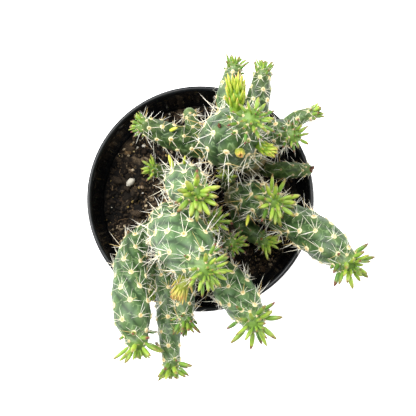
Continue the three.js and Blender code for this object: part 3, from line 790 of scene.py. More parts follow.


# Each plan's wax value is partly painted light: higher on stems in the light, and below 0 painted shade on
# stems in shade.
STEMS = (
    StemPlan("front_main", 7, 6.6, 6.0, 20, 0.9, (
        (-12, -8, 61, 5.5), (-12, -10, 85, 7.6), (-12, -14, 108, 9.8), (-7, -21, 132, 11.2),
        (-2, -27, 145, 9.5), (1.5, -31.5, 151, 5.5)), slim=0.75),
    StemPlan("back_main", 7, 6.6, 5.4, 14, 0.3, (
        (26.5, 19, 61, 5.5), (24, 18, 80, 7), (16.6, 18.8, 105, 9), (11.3, 18, 128, 11.3),
        (14, 18.6, 142, 10.1), (18, 20.5, 150, 5.5)), slim=0.75, ripe=0.7),
    StemPlan("centre_main", 6, 5.9, 8.2, 32, 0.9, (
        (-3, 7.5, 61, 5), (-4, 5.5, 85, 6.2), (-5.5, 3.5, 110, 7.6), (-5.5, 0.5, 130, 8),
        (-3, -2.5, 140, 7), (-1.5, -5, 146, 4)), spines=6, slim=1.05),
    StemPlan("right_main", 6, 5.8, 8, 22, 0.4, (
        (18, 3.5, 61, 5), (17, 1, 80, 6.2), (20, -1.5, 98, 7.4), (25, -3.5, 110, 7.4),
        (29.5, -5, 119, 4.2)), spines=7, ripe=0.15),
    StemPlan("right_long", 6, 6, 7.2, 34, 0.35, (
        (23, -3, 84, 4.2), (30, -7, 92, 6.2), (40, -12.5, 107, 7.5), (50, -21.6, 120, 8.1),
        (56.8, -29.2, 128, 4.8)), spines=6, ripe=0.3),
    StemPlan("right_inner", 5, 4.8, 6, 40, 0.15, (
        (16, -3.5, 79, 3), (18.5, -10.5, 84, 4.2), (22.5, -15.5, 88, 4.5), (28, -19.5, 92, 3.4)),
        slim=0.8, ripe=0.1),
    StemPlan("middle_low", 5, 4.6, 6.5, 45, 0.1, (
        (15.5, 3.5, 72, 2.6), (13, 6.5, 79, 3.5), (12.5, 9.5, 87, 3.2)), slim=0.8, ripe=0.0),
    StemPlan("left_long", 6, 6, 8.6, 26, 0.6, (
        (-16, -13, 88, 4), (-23, -18, 98, 5.8), (-28.3, -26, 107, 6.5), (-28.4, -38.5, 114, 7.2),
        (-26.7, -50.5, 119, 7.6), (-24.6, -59.3, 121, 4.8)), spines=6, ripe=0.15),
    StemPlan("front_slim", 5, 5.6, 7, 34, 0.45, (
        (-12, -18, 82, 3.4), (-14.5, -29, 94, 4.6), (-13.9, -42, 103, 5), (-12.8, -55.5, 107, 5),
        (-11.6, -70.3, 110, 3.6)), spines=7, ripe=0.5),
    StemPlan("front_short", 5, 4.8, 6.8, 44, 0.6, (
        (-7, -26, 112, 3), (-6, -36, 113, 4), (-6, -46, 115, 4.2), (-5.5, -52, 117, 3)),
        slim=0.8, ripe=0.85),
    StemPlan("front_low", 5, 4.4, 4.5, 42, 0.3, (
        (-16, -25, 88, 2.4), (-20, -32, 89, 3.3), (-21, -41, 93, 2.6)), slim=0.7, ripe=0.6),
    StemPlan("front_right", 6, 6, 8.4, 22, 0.9, (
        (-7, -18, 86, 3.6), (1.5, -27, 96, 5.2), (9.8, -36, 108, 7.4), (16.2, -44, 120, 8),
        (20.2, -51.2, 130, 5)), spines=6, ripe=0.4),
    StemPlan("inner_upper", 5, 4.6, 5.5, 42, 0.7, (
        (-6.5, -9, 98, 3), (0, -10.5, 107, 4), (5.5, -13, 118, 3.4)), spines=7, slim=0.7, ripe=0.6),
    StemPlan("inner_lower", 5, 4.6, 5, 42, 0.4, (
        (-5.5, -15, 96, 3), (4, -18.5, 100, 4), (13, -21.5, 108, 3.4)), spines=7, slim=0.7, ripe=0.7),
    StemPlan("back_left", 5, 5.2, 5, 48, 0.65, (
        (15.5, 23.5, 100, 3.2), (12, 32, 106, 4.3), (11.7, 42, 110, 4.5), (14.3, 51.3, 113, 3.4)),
        slim=0.65, ripe=0.5),
    StemPlan("back_right", 5, 5.2, 4.2, 64, -0.35, (
        (21, 23.5, 106, 3.2), (23.7, 31.5, 110, 4.4), (24.7, 40, 113, 5), (26.2, 48.4, 117, 3.4)),
        slim=0.6, ripe=0.9),
    StemPlan("right_upper", 5, 4.8, 4.6, 34, 0.45, (
        (21.5, 18, 112, 3.4), (28.2, 21.3, 114, 5.2), (33.4, 23.2, 118, 6), (36.8, 21, 124, 4)),
        slim=0.7, ripe=1.0),
    StemPlan("right_tip", 5, 4.4, 3.8, 66, 0.5, (
        (33.6, 25.3, 117, 2.4), (39, 28.4, 120, 3.3), (45.2, 30.3, 121.5, 2.6)), slim=0.75, ripe=0.5),
    StemPlan("right_low", 5, 4.6, 0, 0, 0.0, (
        (27, 16, 76, 2.6), (31.5, 13, 86, 3.6), (39, 11.5, 94, 3.8), (46.5, 11, 98, 2.8)), spines=3),
    StemPlan("left_upper", 5, 5.2, 4.4, 50, -0.25, (
        (17.5, 19, 90, 3.6), (3, 20.5, 97, 5.2), (-12.5, 25, 103, 5.8), (-23.5, 28.5, 108, 3.8)),
        spines=3, slim=0.6, ripe=0.6),
    StemPlan("left_small", 5, 4.4, 0, 0, 0.2, (
        (2.5, 20.5, 97, 2.6), (-2, 27, 101, 3.5), (-4.5, 34.5, 104, 2.8))),
    StemPlan("left_low", 5, 4.4, 5, 42, 0.2, (
        (-6.5, 8, 78, 2.8), (-13.5, 11, 84, 3.8), (-20, 12.5, 90, 3)), slim=0.75, ripe=0.2),
    StemPlan("back_lime", 5, 3.3, 4.8, 62, 0.0, (
        (14, 22.5, 146, 2.4), (13.5, 28, 152, 3.6), (13, 35, 157, 2)), Bud.LIME),
    StemPlan("back_small", 5, 2.0, 2.4, 97, 0.0, (
        (14.5, 13.2, 141, 1.8), (15, 9.9, 147, 1.9)), Bud.GOLD),
    StemPlan("back_side", 5, 2.2, 2.6, 66, 0.0, (
        (20.5, 15, 140, 1.8), (24, 12.5, 142.5, 2.6), (28, 10.5, 144, 1.8)), Bud.LIME),
    StemPlan("front_gold", 5, 3.2, 4.2, 62, 0.0, (
        (-4, -30.5, 137, 2.2), (-5.5, -37, 140, 3.2), (-7.5, -43, 140.5, 2)), Bud.GOLD),
)


@dataclass
class Frames:
    """Centres and directions along a centreline."""

    centre: Points
    along: Points
    side: Points
    across: Points


class Centreline:
    """The centreline of a stem, with a frame and a radius at any distance from its base."""

    steps = 40
    stations = 60

    def __init__(self, line: Sequence[Sequence[float]]) -> None:
        """Sample the curve through the points of a plan.

        Args:
            line: Points with a radius each, from base to tip.
        """
        knots = np.array(line, dtype=float)
        padded = np.vstack([2 * knots[0] - knots[1], knots, 2 * knots[-1] - knots[-2]])
        spans = len(knots) - 1
        time = np.linspace(0, spans, spans * self.steps + 1)
        span = np.minimum(time.astype(int), spans - 1)
        part = (time - span)[:, None]
        before, start, end, after = (padded[span + k] for k in range(4))
        leave, arrive = (end - before) / 2, (after - start) / 2
        curve = start + leave * part + (3 * (end - start) - 2 * leave - arrive) * part**2
        curve += (2 * (start - end) + leave + arrive) * part**3
        self.places, self.radii = curve[:, :3], curve[:, 3]
        gaps = np.linalg.norm(np.diff(self.places, axis=0), axis=1)
        self.reach = np.concatenate([[0.0], np.cumsum(gaps)])
        self.length = float(self.reach[-1])
        self.tip_radius = float(knots[-1, 3])
        self.tangents = unit(np.gradient(self.places, self.reach, axis=0))
        self.station = np.linspace(0, self.length, self.stations + 1)
        self.sides = self._carried_sides()

    def _spread(self, table: Points, distance: Values, at: Values) -> Points:
        """Read each column of a table at the given distances."""
        return np.stack([np.interp(distance, at, table[:, k]) for k in range(3)], axis=-1)

    def _carried_sides(self) -> Points:
        """Carry a sideways direction along the curve without turning about it."""
        sides = []
        side = np.array([0.0, 1.0, 0.0])
        for along in unit(self._spread(self.tangents, self.station, self.reach)):
            side = unit(side - along * side.dot(along))
            sides.append(side)
        return np.array(sides)

    def radius_at(self, distance: Values) -> Values:
        """Give the radius, with a round end past the last point of the plan."""
        past = np.maximum(distance - self.length, 0)
        end = np.sqrt(np.maximum(self.tip_radius**2 - past**2, 0))
        return np.where(past > 0, end, np.interp(distance, self.reach, self.radii))

    def frames_at(self, distance: Values) -> Frames:
        """Give the centre and the directions at each distance."""
        distance = np.asarray(distance, dtype=float)
        kept = np.clip(distance, 0, self.length)
        along = unit(self._spread(self.tangents, kept, self.reach))
        side = self._spread(self.sides, kept, self.station)
        side = unit(side - along * dot(side, along))
        centre = self._spread(self.places, kept, self.reach) + along * (distance - kept)[..., None]
        return Frames(centre, along, side, np.cross(along, side))


@dataclass
class Sites:
    """Places on a stem where an areole or a leaf grows, with their directions."""

    stem: int
    column: Values
    row: Values
    peak: Points
    outward: Points
    round: Points
    forward: Points
    along: Points
    sideways: Points
    radius: Values

    def pick(self, chosen: Values) -> "Sites":
        """Keep the chosen sites."""
        names = ("column", "row", "peak", "outward", "round", "forward", "along", "sideways", "radius")
        return Sites(self.stem, *(getattr(self, name)[chosen] for name in names))

    def draw(self, use: int) -> Values:
        """Draw a number from 0 to 1 for each site."""
        return draw(self.stem, self.column, self.row, use)

    def swing(self, use: int) -> Values:
        """Draw a number from -1 to 1 for each site."""
        return swing(self.stem, self.column, self.row, use)

    def __len__(self) -> int:
        """Count the sites."""
        return len(self.column)


class Stem:
    """A stem or bud: rows of tubercles along a centreline, each half a step round from the last."""

    last_row = -0.45
    crown_rows = (0.15, 0.6)
    crown_end = 0.92
    bare_end = 0.8
    twist = 0.07
    peak_shift = 0.15
    trunk_foot_below = 70
    bead_gap = 1.5

    def __init__(self, plan: StemPlan, index: int) -> None:
        """Lay out the rows of a plan.

        Args:
            plan: The stem's plan.
            index: Its place in the list of stems, for repeatable draws.
        """
        self.plan = plan
        self.index = index
        self.axis = Centreline(plan.line)
        length, tip = self.axis.length, self.axis.tip_radius
        first = plan.pitch / 2
        last = length + self.last_row * tip
        steps = max(1, round((last - first) / plan.pitch))
        body_rows = first + (last - first) * np.arange(steps + 1) / steps
        self.body_rows = steps + 1
        tip_rows = self.crown_rows if plan.leaf > 0 else self.crown_rows[:1]
        end = self.crown_end if plan.leaf > 0 else self.bare_end
        rest = [length + share * tip for share in (*tip_rows, end)]
        self.rows = np.array([0.0, *body_rows, *rest])

    @property
    def has_crown(self) -> bool:
        """Whether its leaves are a crown at its tip."""
        return self.plan.leaf > 0 and not self.plan.bud

    @property
    def is_trunk(self) -> bool:
        """Whether the stem is one of the rooted ones, whose foot is corky."""
        return self.plan.line[0][2] < self.trunk_foot_below

    def angle(self, column: Values, row: Values) -> Values:
        """Give the angle round the stem of a column in a row."""
        return TURN * (column + row / 2) / self.plan.around + self.twist * row

    def sites(self) -> Sites:
        """Give every site of the stem."""
        row, column = np.divmod(np.arange((len(self.rows) - 2) * self.plan.around), self.plan.around)
        span = self.rows[row + 2] - self.rows[row]
        return self.sites_at(self.rows[row + 1] + self.peak_shift * span / 2, column, row)

    def sites_at(self, distance: Values, column: Values, row: Values) -> Sites:
        """Give sites at free distances from the base.

        Args:
            distance: Distance of each peak along the centreline.
            column: Column of each site.
            row: Row of each site, which sets its angle.

        Returns:
            The sites, on the skin.
        """
        distance = np.asarray(distance, dtype=float)
        frames = self.axis.frames_at(distance)
        angle = self.angle(column, row)[:, None]
        sideways = frames.side * np.cos(angle) + frames.across * np.sin(angle)
        around = np.cross(frames.along, sideways)
        radius = self.axis.radius_at(distance)
        slope = self.axis.radius_at(distance + 0.5) - self.axis.radius_at(distance - 0.5)
        outward = unit(sideways + frames.along * np.clip(-slope, -1, 1.5)[:, None])
        forward = unit(np.cross(outward, around))
        peak = frames.centre + sideways * radius[:, None]
        return Sites(self.index, column, row, peak, outward, around, forward, frames.along, sideways, radius)

    def beads(self) -> tuple[Points, Values]:
        """Give centres and radii of balls that fill the stem."""
        end = self.axis.length + self.axis.tip_radius / 2
        distance = np.linspace(0, end, max(2, math.ceil(end / self.bead_gap)))
        return self.axis.frames_at(distance).centre, self.axis.radius_at(distance)


@dataclass
class StemSkin:
    """The skin of a stem, with its tubercles."""

    stem: Stem
    cell: float = 0.72
    valley: float = 0.925
    softness: float = 0.16
    roundness: float = 1.6
    collar_size: float = 1.9
    cork_heights: Pair = (108, 84)
    young_reach: Pair = (0.1, 0.95)

    def mesh(self) -> Mesh:
        """Build the mesh out of a ball, drawn out along the centreline.

        Returns:
            A closed mesh with relief, collar, bloom, young and age on its vertices.
        """
        axis = self.stem.axis
        end = axis.length + axis.tip_radius
        profile = np.linspace(0, end, 400)
        widths = axis.radius_at(profile)
        travel = np.concatenate([[0.0], np.cumsum(np.hypot(np.diff(profile), np.diff(widths)))])
        rings = max(8, round(travel[-1] / self.cell))
        sides = max(24, round(TURN * widths.max() / self.cell))
        base = Template(f"skin_{self.stem.plan.name}", ball(sides, rings))
        ring = np.round(np.arccos(np.clip(-base.points[:, 2], -1, 1)) / math.pi * rings)
        distance = np.interp((ring - 1) / (rings - 1), travel / travel[-1], profile)
        angle = np.arctan2(base.points[:, 1], base.points[:, 0])
        relief, collar = self.relief(distance, angle)
        frames = axis.frames_at(distance)
        sideways = frames.side * np.cos(angle)[:, None] + frames.across * np.sin(angle)[:, None]
        radius = axis.radius_at(distance) * (self.valley + (1 - self.valley) * relief)
        radius[ring == 0] = 0
        radius[ring == rings] = 0
        points = frames.centre + sideways * radius[:, None]
        fine = 0.16 * ripple(points, 3.1, self.stem.index) + 0.05 * ripple(points, 0.9, self.stem.index)
        points += sideways * (fine * np.minimum(radius, 1))[:, None]
        mesh = base.mesh
        place_points(mesh, points)
        age = smooth_step(*self.cork_heights, points[:, 2] + 6 * ripple(points, 7, 3)) * self.stem.is_trunk
        mark_points(mesh, relief=relief, collar=collar, bloom=self.bloom(points),
                    young=self.young(distance), age=age)
        return mesh

    def bloom(self, points: Points) -> Values:
        """Give the pale wax on the skin with painted light, more on stems in the light; below 0 it is
        painted shade on stems in shade.
        """
        return np.clip(self.stem.plan.bloom * (0.85 + 0.25 * ripple(points, 9, 7)), -1, 1)

    def young(self, distance: Values) -> Values:
        """Give how fresh the growth is, near the tip of a leafy stem."""
        if not self.stem.has_crown:
            return np.zeros(len(distance))
        low, high = (self.stem.axis.length + share * self.stem.axis.tip_radius for share in self.young_reach)
        return smooth_step(low, high, distance)

    def relief(self, distance: Values, angle: Values) -> tuple[Values, Values]:
        """Give the height of the tubercles and the collar round each areole.

        Args:
            distance: Distance of each point from the base.
            angle: Angle of each point round the stem.

        Returns:
            Heights from 0 in a valley to 1 on a peak, and collars from 0 to 1 at the areole.
        """
        rows = self.stem.rows
        around = self.stem.plan.around
        place = np.interp(distance, rows, np.arange(-1, len(rows) - 1))
        gap = np.gradient(rows)[np.clip(np.round(place).astype(int) + 1, 0, len(rows) - 1)]
        width = TURN * self.stem.axis.radius_at(distance) / around
        nearest = np.full(len(distance), 2.0)
        apart = np.full(len(distance), 99.0)
        for row in (np.floor(place), np.floor(place) + 1):
            column = (angle - self.stem.twist * row) * around / TURN - row / 2
            aside = column - np.round(column)
            ahead = place - row
            ahead = ahead - self.stem.peak_shift * (1 - ahead**2)
            nearest = np.minimum(nearest, self.soft(2 * aside) + self.soft(ahead))
            apart = np.minimum(apart, np.hypot(aside * width, ahead * gap))
        height = 1 - np.clip(nearest / (2 * self.soft(0.5)) * 0.94, 0, 1) ** self.roundness
        return height, np.exp(-((apart / self.collar_size) ** 2))

    def soft(self, value: Values) -> Values:
        """Give the size of a number, rounded off near zero."""
        return np.sqrt(value * value + self.softness**2) - self.softness


class Plant:
    """All the stems and buds, and where they leave room for what grows on them."""

    pot_room = 0.4
    soil_room = 0.6
    nowhere = -99.0

    def __init__(self, plans: Sequence[StemPlan], soil: "PottingSoil") -> None:
        """Lay out the stems.

        Args:
            plans: The plans of all stems and buds.
            soil: The soil that they stand in.
        """
        self.soil = soil
        self.stems = [Stem(plan, index) for index, plan in enumerate(plans)]
        self.filled = [stem.beads() for stem in self.stems]

    def depth_in_others(self, index: int, points: Points) -> Values:
        """Measure how deep points lie in the other stems.

        Args:
            index: The stem that the points belong to.
            points: The places to test.

        Returns:
            The greatest depth for each point, negative outside.
        """
        deepest = np.full(len(points), self.nowhere)
        for other, (centres, radii) in enumerate(self.filled):
            if other != index:
                apart = np.linalg.norm(points[:, None] - centres[None], axis=2) - radii[None]
                deepest = np.maximum(deepest, -apart.min(axis=1))
        return deepest

    def open_sites(self, stem: Stem, sites: Sites, margin: float = 0.2) -> Sites:
        """Keep the sites that are neither in another stem nor in the soil."""
        buried = self.depth_in_others(stem.index, sites.peak) > -margin
        ground = self.soil.height(sites.peak[:, 0], sites.peak[:, 1])
        inside = np.hypot(sites.peak[:, 0], sites.peak[:, 1]) < self.soil.edge
        return sites.pick(~buried & ~(inside & (sites.peak[:, 2] < ground + self.soil_room)))

    def room_for(self, index: int, roots: Points, tips: Points, room: float) -> Values:
        """Give the share of each straight reach that stays clear of other stems, the soil and the pot.

        Args:
            index: The stem that the reaches grow from.
            roots: Where they start.
            tips: Where they would end.
            room: Distance that they keep to the other stems.

        Returns:
            Shares from 0 to 1.
        """
        free = np.ones(len(roots))
        blocked = np.zeros(len(roots), dtype=bool)
        for share in (0.25, 0.4, 0.55, 0.7, 0.85, 1.0):
            points = roots + share * (tips - roots)
            hit = self.depth_in_others(index, points) > -room
            hit |= ~self.soil.pot.is_clear(points, self.soil, self.pot_room)
            free = np.where(hit & ~blocked, share - 0.15, free)
            blocked |= hit
        return np.clip(free, 0, 1)


@dataclass
class NurseryPot:
    """The black pot, with a rim band, a shelf inside and drain holes."""

    rim_radius: float = 51
    height: float = 90
    base_radius: float = 37
    base_round: float = 1.5
    wall: float = 1.4
    floor: float = 2.4
    band_height: float = 9
    band_step: float = 1.3
    lip_round: float = 0.93
    shelf_height: float = 72.6
    shelf_step: float = 0.9
    drain_holes: int = 5
    drain_radius: float = 4
    drain_circle: float = 24
    sides: int = 168
    finish: PlasticFinish = PlasticFinish()

    def outer_radius(self, height: Values) -> Values:
        """Give the radius of the outer wall below the band."""
        top = self.rim_radius - self.band_step
        return self.base_radius + (top - self.base_radius) * height / (self.height - self.band_height)

    def inner_radius(self, height: Values) -> Values:
        """Give the radius of the inner wall."""
        return np.minimum(self.outer_radius(height), self.rim_radius - self.band_step) - self.wall

    def is_clear(self, points: Points, soil: "PottingSoil", margin: float) -> Values:
        """Tell which points keep a distance to the pot and the soil."""
        reach = np.hypot(points[:, 0], points[:, 1])
        above = points[:, 2] > self.height + margin
        outside = reach > self.rim_radius + margin
        inside = (reach < self.inner_radius(points[:, 2]) - margin)
        inside &= points[:, 2] > soil.height(points[:, 0], points[:, 1]) + margin
        return above | outside | inside

    def profile(self) -> list[Triple]:
        """List the corners of the wall as radius, height and rounding, from the axis to the axis."""
        band = self.height - self.band_height
        body_top = self.rim_radius - self.band_step
        lip_inner = body_top - self.wall / 2
        shelf = float(self.inner_radius(self.shelf_height))
        return [
            (0, 0, 0), (self.base_radius, 0, self.base_round), (body_top, band, 0.3),
            (self.rim_radius, band + self.band_step / 2, 0.35),
            (self.rim_radius, self.height, self.lip_round), (lip_inner, self.height, self.lip_round),
            (float(self.inner_radius(band)), band, 0.8),
            (shelf + 0.35, self.shelf_height + 1.2, 0.9),
            (shelf - self.shelf_step + 0.6, self.shelf_height, 0.35),
            (float(self.inner_radius(self.floor)), self.floor, 0.8), (0, self.floor, 0),
        ]

    def build(self) -> list[Piece]:
        """Build the pot.

        Returns:
            Its one piece.
        """
        shape = bmesh.new()
        corners = [shape.verts.new((radius * MM, 0, height * MM)) for radius, height, _ in self.profile()]
        for pair in zip(corners, corners[1:]):
            shape.edges.new(pair)
        spun(shape, self.sides, 1e-6)
        for radius, height, rounding in self.profile():
            if rounding:
                self.round_ring(shape, radius, height, rounding)
        mesh = self.drilled(as_mesh("pot_shell", shape))
        return [add_piece("pot_shell", mesh, self.finish.material(), ["pot"])]

    def round_ring(self, shape: Shape, radius: float, height: float, rounding: float) -> None:
        """Round off the edge that runs round the pot at a corner of its profile.

        Args:
            shape: The spun pot.
            radius: Radius of the corner.
            height: Height of the corner.
            rounding: Width of the rounding.
        """
        def is_there(vert: bmesh.types.BMVert) -> bool:
            reach = math.hypot(vert.co.x, vert.co.y)
            return abs(reach - radius * MM) < 2e-6 and abs(vert.co.z - height * MM) < 2e-6

        ring = [edge for edge in shape.edges if all(is_there(vert) for vert in edge.verts)]
        bmesh.ops.bevel(
            shape, geom=ring, offset=rounding * MM, segments=3, profile=0.5, affect="EDGES", material=-1
        )

    def drilled(self, mesh: Mesh) -> Mesh:
        """Cut the drain holes through the floor.

        Args:
            mesh: The whole pot.

        Returns:
            A new mesh with the holes.
        """
        drills = bmesh.new()
        for hole in range(self.drain_holes):
            turn = Matrix.Rotation(TURN * hole / self.drain_holes, 4, "Z")
            place = turn @ Matrix.Translation((self.drain_circle * MM, 0, 0))
            bmesh.ops.create_cone(
                drills, cap_ends=True, segments=40, radius1=self.drain_radius * MM,
                radius2=self.drain_radius * MM, depth=4 * self.floor * MM, matrix=place,
            )
        whole = in_scene("whole_pot", mesh)
        cutter = in_scene("drills", as_mesh("drills", drills))
        cut = whole.modifiers.new("drain_holes", "BOOLEAN")
        cut.operation = "DIFFERENCE"
        cut.solver = "EXACT"
        cut.object = cutter
        graph = bpy.context.evaluated_depsgraph_get()
        result = bpy.data.meshes.new_from_object(whole.evaluated_get(graph))
        for item in (whole, cutter):
            bpy.data.objects.remove(item)
        return result


class Ingredient(Enum):
    """What the potting soil is mixed from."""

    CRUMB = "soil_crumbs"
    CLOD = "soil_clods"
    BARK = "bark_chips"
    GRIT = "tan_grit"
    PERLITE = "perlite"


@dataclass(frozen=True)
class Scatter:
    """How one ingredient lies on the soil."""

    count: int
    smallest: float
    largest: float
    flatness: float
    roughness: float
    splits: int
    finish: EarthFinish


@dataclass
class PottingSoil:
    """The soil: a rough bed, strewn with crumbs, clods, bark, grit and perlite."""

    pot: NurseryPot
    level: float = 70
    mound: float = 2.2
    waves: float = 1.3
    gap: float = 0.3
    rings: int = 74
    sides: int = 230
    draws: np.random.Generator = field(default_factory=lambda: np.random.default_rng(41))
    dry_heaps: tuple[Triple, ...] = (
        (-34, 25, 9), (-24, -3, 9), (-8, 44, 7), (30, -23, 6), (-36, -14, 6))
    fibres: int = 420
    fibre_length: Pair = (1.5, 7.0)
    fibre_width: Pair = (0.09, 0.26)
    fibre_finish: EarthFinish = EarthFinish(
        "peat_fibres", 0.9, shade(44, 32, 22), shade(104, 82, 58), shade(160, 134, 100), 1600.0, 0.15)
    lumps: tuple[Triple, ...] = (
        (-33.6, 9.0, 2.3), (-27.5, 26.6, 1.1), (-30.6, 26.1, 0.6), (-15.1, 42.2, 0.6), (-27.9, 3.8, 0.65),
        (-35, 7.6, 0.7))
    bed: EarthFinish = EarthFinish("soil_bed", 0.95, shade(5, 4, 3), shade(42, 35, 27), shade(140, 120, 94))
    mix: dict[Ingredient, Scatter] = field(default_factory=lambda: {
        Ingredient.CRUMB: Scatter(7600, 0.22, 1.0, 0.85, 0.34, 1, EarthFinish(
            "soil_crumbs", 0.9, shade(6, 5, 4), shade(106, 88, 66), shade(232, 212, 176))),
        Ingredient.CLOD: Scatter(480, 0.8, 2.5, 0.55, 0.45, 2, EarthFinish(
            "soil_clods", 0.95, shade(6, 5, 4), shade(98, 82, 64), shade(194, 170, 138), 1300.0, 0.9)),
        Ingredient.BARK: Scatter(260, 0.6, 2.0, 0.3, 0.25, 2, EarthFinish(
            "bark_chips", 0.85, shade(14, 10, 7), shade(84, 64, 44), shade(172, 140, 98), 1000.0, 0.3)),
        Ingredient.GRIT: Scatter(360, 0.25, 0.9, 0.75, 0.2, 1, EarthFinish(
            "tan_grit", 0.6, shade(134, 112, 62), shade(184, 160, 98), shade(226, 206, 146), 1800.0, 0.12,
            (0.5, 0.48, 0.44, 1.0))),
        Ingredient.PERLITE: Scatter(26, 0.25, 0.6, 0.85, 0.14, 2, EarthFinish(
            "perlite", 0.85, shade(200, 194, 180), shade(232, 228, 218), shade(250, 248, 244), 2400.0, 0.25,
            (0.75, 0.74, 0.7, 1.0))),
    })

    @property
    def edge(self) -> float:
        """Radius of the soil's surface."""
        return float(self.pot.inner_radius(self.level))

    def height(self, x: Values, y: Values) -> Values:
        """Give the height of the surface, a low mound with ripples."""
        mound = self.mound * (1 - (x * x + y * y) / self.edge**2)
        waves = np.sin(x * 0.31 + 1.3) * np.cos(y * 0.27) + np.sin(x * 0.73 - y * 0.61 + 0.4)
        return self.level + mound + self.waves * waves / 2

    def build(self) -> list[Piece]:
        """Build the soil.

        Returns:
            The bed and one piece for each ingredient.
        """
        pieces = [add_piece("soil_bed", self.bed_mesh(), self.bed.material(), ["soil"])]
        for ingredient, scatter in self.mix.items():
            mesh = self.strewn(ingredient, scatter)
            pieces.append(add_piece(ingredient.value, mesh, scatter.finish.material()))
        fibres = self.fibre_mesh()
        return [*pieces, add_piece("peat_fibres", fibres, self.fibre_finish.material())]

    def fibre_mesh(self) -> Mesh:
        """Lay bent root and peat fibres on the bed, more of them where it is dry.

        Returns:
            One mesh with all of them.
        """
        template = Template("peat_fibres", needle(4, (0.25, 0.5, 0.75)))
        tries = 6 * self.fibres
        reach = (self.edge - 3) * np.sqrt(self.draws.random(tries))
        turn = TURN * self.draws.random(tries)
        x, y = reach * np.cos(turn), reach * np.sin(turn)
        liked = np.argsort(self.draws.random(tries) - 0.9 * self.dryness(x, y))[:self.fibres]
        middle = np.stack([x[liked], y[liked]], axis=-1)
        length = self.fibre_length[0] + np.ptp(self.fibre_length) * self.draws.random(self.fibres) ** 1.8
        heading = TURN * self.draws.random(self.fibres)
        half = np.stack([np.cos(heading), np.sin(heading)], axis=-1) * (length / 2)[:, None]
        aside = np.stack([-half[:, 1], half[:, 0]], axis=-1) * self.draws.normal(0, 0.35, (self.fibres, 1))
        flat = np.stack([middle - half, middle + aside, middle + half], axis=1)
        held = np.minimum(1, (self.edge - 1) / np.linalg.norm(flat, axis=2, keepdims=True))
        flat = flat * held
        lift = self.draws.uniform(0.2, 1.0, (self.fibres, 3))
        path = np.concatenate([flat, (self.height(flat[..., 0], flat[..., 1]) + lift)[..., None]], axis=2)
        width = self.draws.uniform(*self.fibre_width, self.fibres)
        return strands(template, path, width, self.draws.random(self.fibres))

    def bed_mesh(self) -> Mesh:
        """Spin the bed out of half its outline and roughen its top."""
        floor = self.pot.floor + self.gap
        low_edge = float(self.pot.inner_radius(floor)) - self.gap
        top_edge = self.edge - self.gap
        outline = [(0, self.level), (top_edge, self.level), (low_edge, floor), (0, floor)]
        shape = bmesh.new()
        corners = [shape.verts.new((radius, 0, height)) for radius, height in outline]
        edges = [shape.edges.new(pair) for pair in zip(corners, corners[1:])]
        bmesh.ops.subdivide_edges(shape, edges=edges[:1], cuts=self.rings)
        bmesh.ops.subdivide_edges(shape, edges=edges[1:], cuts=7)
        spun(shape, self.sides, 1e-4)
        mesh = as_mesh("soil_bed", shape)
        points = mesh_points(mesh)
        top = points[:, 2] > self.level - 0.001
        x, y = points[top, 0], points[top, 1]
        flat = points[top] * (1, 1, 0)
        rough = 1.5 * ripple(flat, 5.2, 1) + 0.75 * ripple(flat, 2.1, 2) + 0.35 * ripple(flat, 0.9, 3)
        points[top, 2] = self.height(x, y) + rough
        tint = np.full(len(points), 0.35)
        tint[top] = np.clip(0.75 * self.dryness(x, y) + 0.35 * rough, 0, 1)
        place_points(mesh, points)
        mark_points(mesh, tint=tint)
        return mesh

    def strewn(self, ingredient: Ingredient, scatter: Scatter) -> Mesh:
        """Strew one ingredient over the bed.

        Args:
            ingredient: What is strewn.
            scatter: How it lies.

        Returns:
            One mesh with all its lumps.
        """
        template = Template(ingredient.value, pebble(scatter.splits))
        count = scatter.count
        size = scatter.smallest + (scatter.largest - scatter.smallest) * self.draws.random(count) ** 2
        reach = (self.edge - 0.4 - size) * np.sqrt(self.draws.random(count))
        turn = TURN * self.draws.random(count)
        x, y = reach * np.cos(turn), reach * np.sin(turn)
        sunk = self.draws.uniform(-0.1, 0.55, count) * size
        if ingredient is Ingredient.PERLITE:
            for lump, (lump_x, lump_y, radius) in enumerate(self.lumps):
                x[lump], y[lump], size[lump] = lump_x, lump_y, radius
        centres = np.stack([x, y, self.height(x, y) + sunk], axis=-1)
        stretch = self.draws.uniform(0.7, 1.25, (count, 3)) * size[:, None]
        stretch[:, 2] *= scatter.flatness
        knobs = 1 + scatter.roughness * self.draws.uniform(-1, 1, (count, len(template.points)))
        lumps = template.points[None] * knobs[..., None] * stretch[:, None]
        tilt = random_turns(self.draws, count)
        if scatter.flatness < 0.5:
            tilt = self.lying_turns(count)
        lumps = np.einsum("nij,nvj->nvi", tilt, lumps) + centres[:, None]
        own = self.draws.random(count) ** 1.6
        return template.copies(lumps, {}, tint=np.clip((0.35 + self.dryness(x, y)) * own, 0, 1))

    def dryness(self, x: Values, y: Values) -> Values:
        """Give how dry and pale the soil is, from 0 in the wet parts to 1 in the dry ones."""
        flat = np.stack([x, y, np.zeros(len(x))], axis=-1)
        wave = 0.5 + 0.9 * ripple(flat, 6.5, 4) + 0.5 * ripple(flat, 2.6, 9)
        heaps = np.zeros(len(x))
        for heap_x, heap_y, size in self.dry_heaps:
            heaps = np.maximum(heaps, np.exp(-((x - heap_x) ** 2 + (y - heap_y) ** 2) / size**2))
        return np.clip(0.7 * wave - 0.25 + 0.8 * heaps, 0, 1)

    def lying_turns(self, count: int) -> Points:
        """Draw turns about the vertical with a slight tilt, as flat chips lie."""
        turns = self.draws.uniform(0, TURN, count)
        tilts = self.draws.normal(0, 0.35, (count, 2))
        matrices = []
        for turn, (aside, ahead) in zip(turns, tilts):
            tilted = Matrix.Rotation(aside, 3, "X") @ Matrix.Rotation(ahead, 3, "Y")
            matrices.append([list(row) for row in Matrix.Rotation(turn, 3, "Z") @ tilted])
        return np.array(matrices)


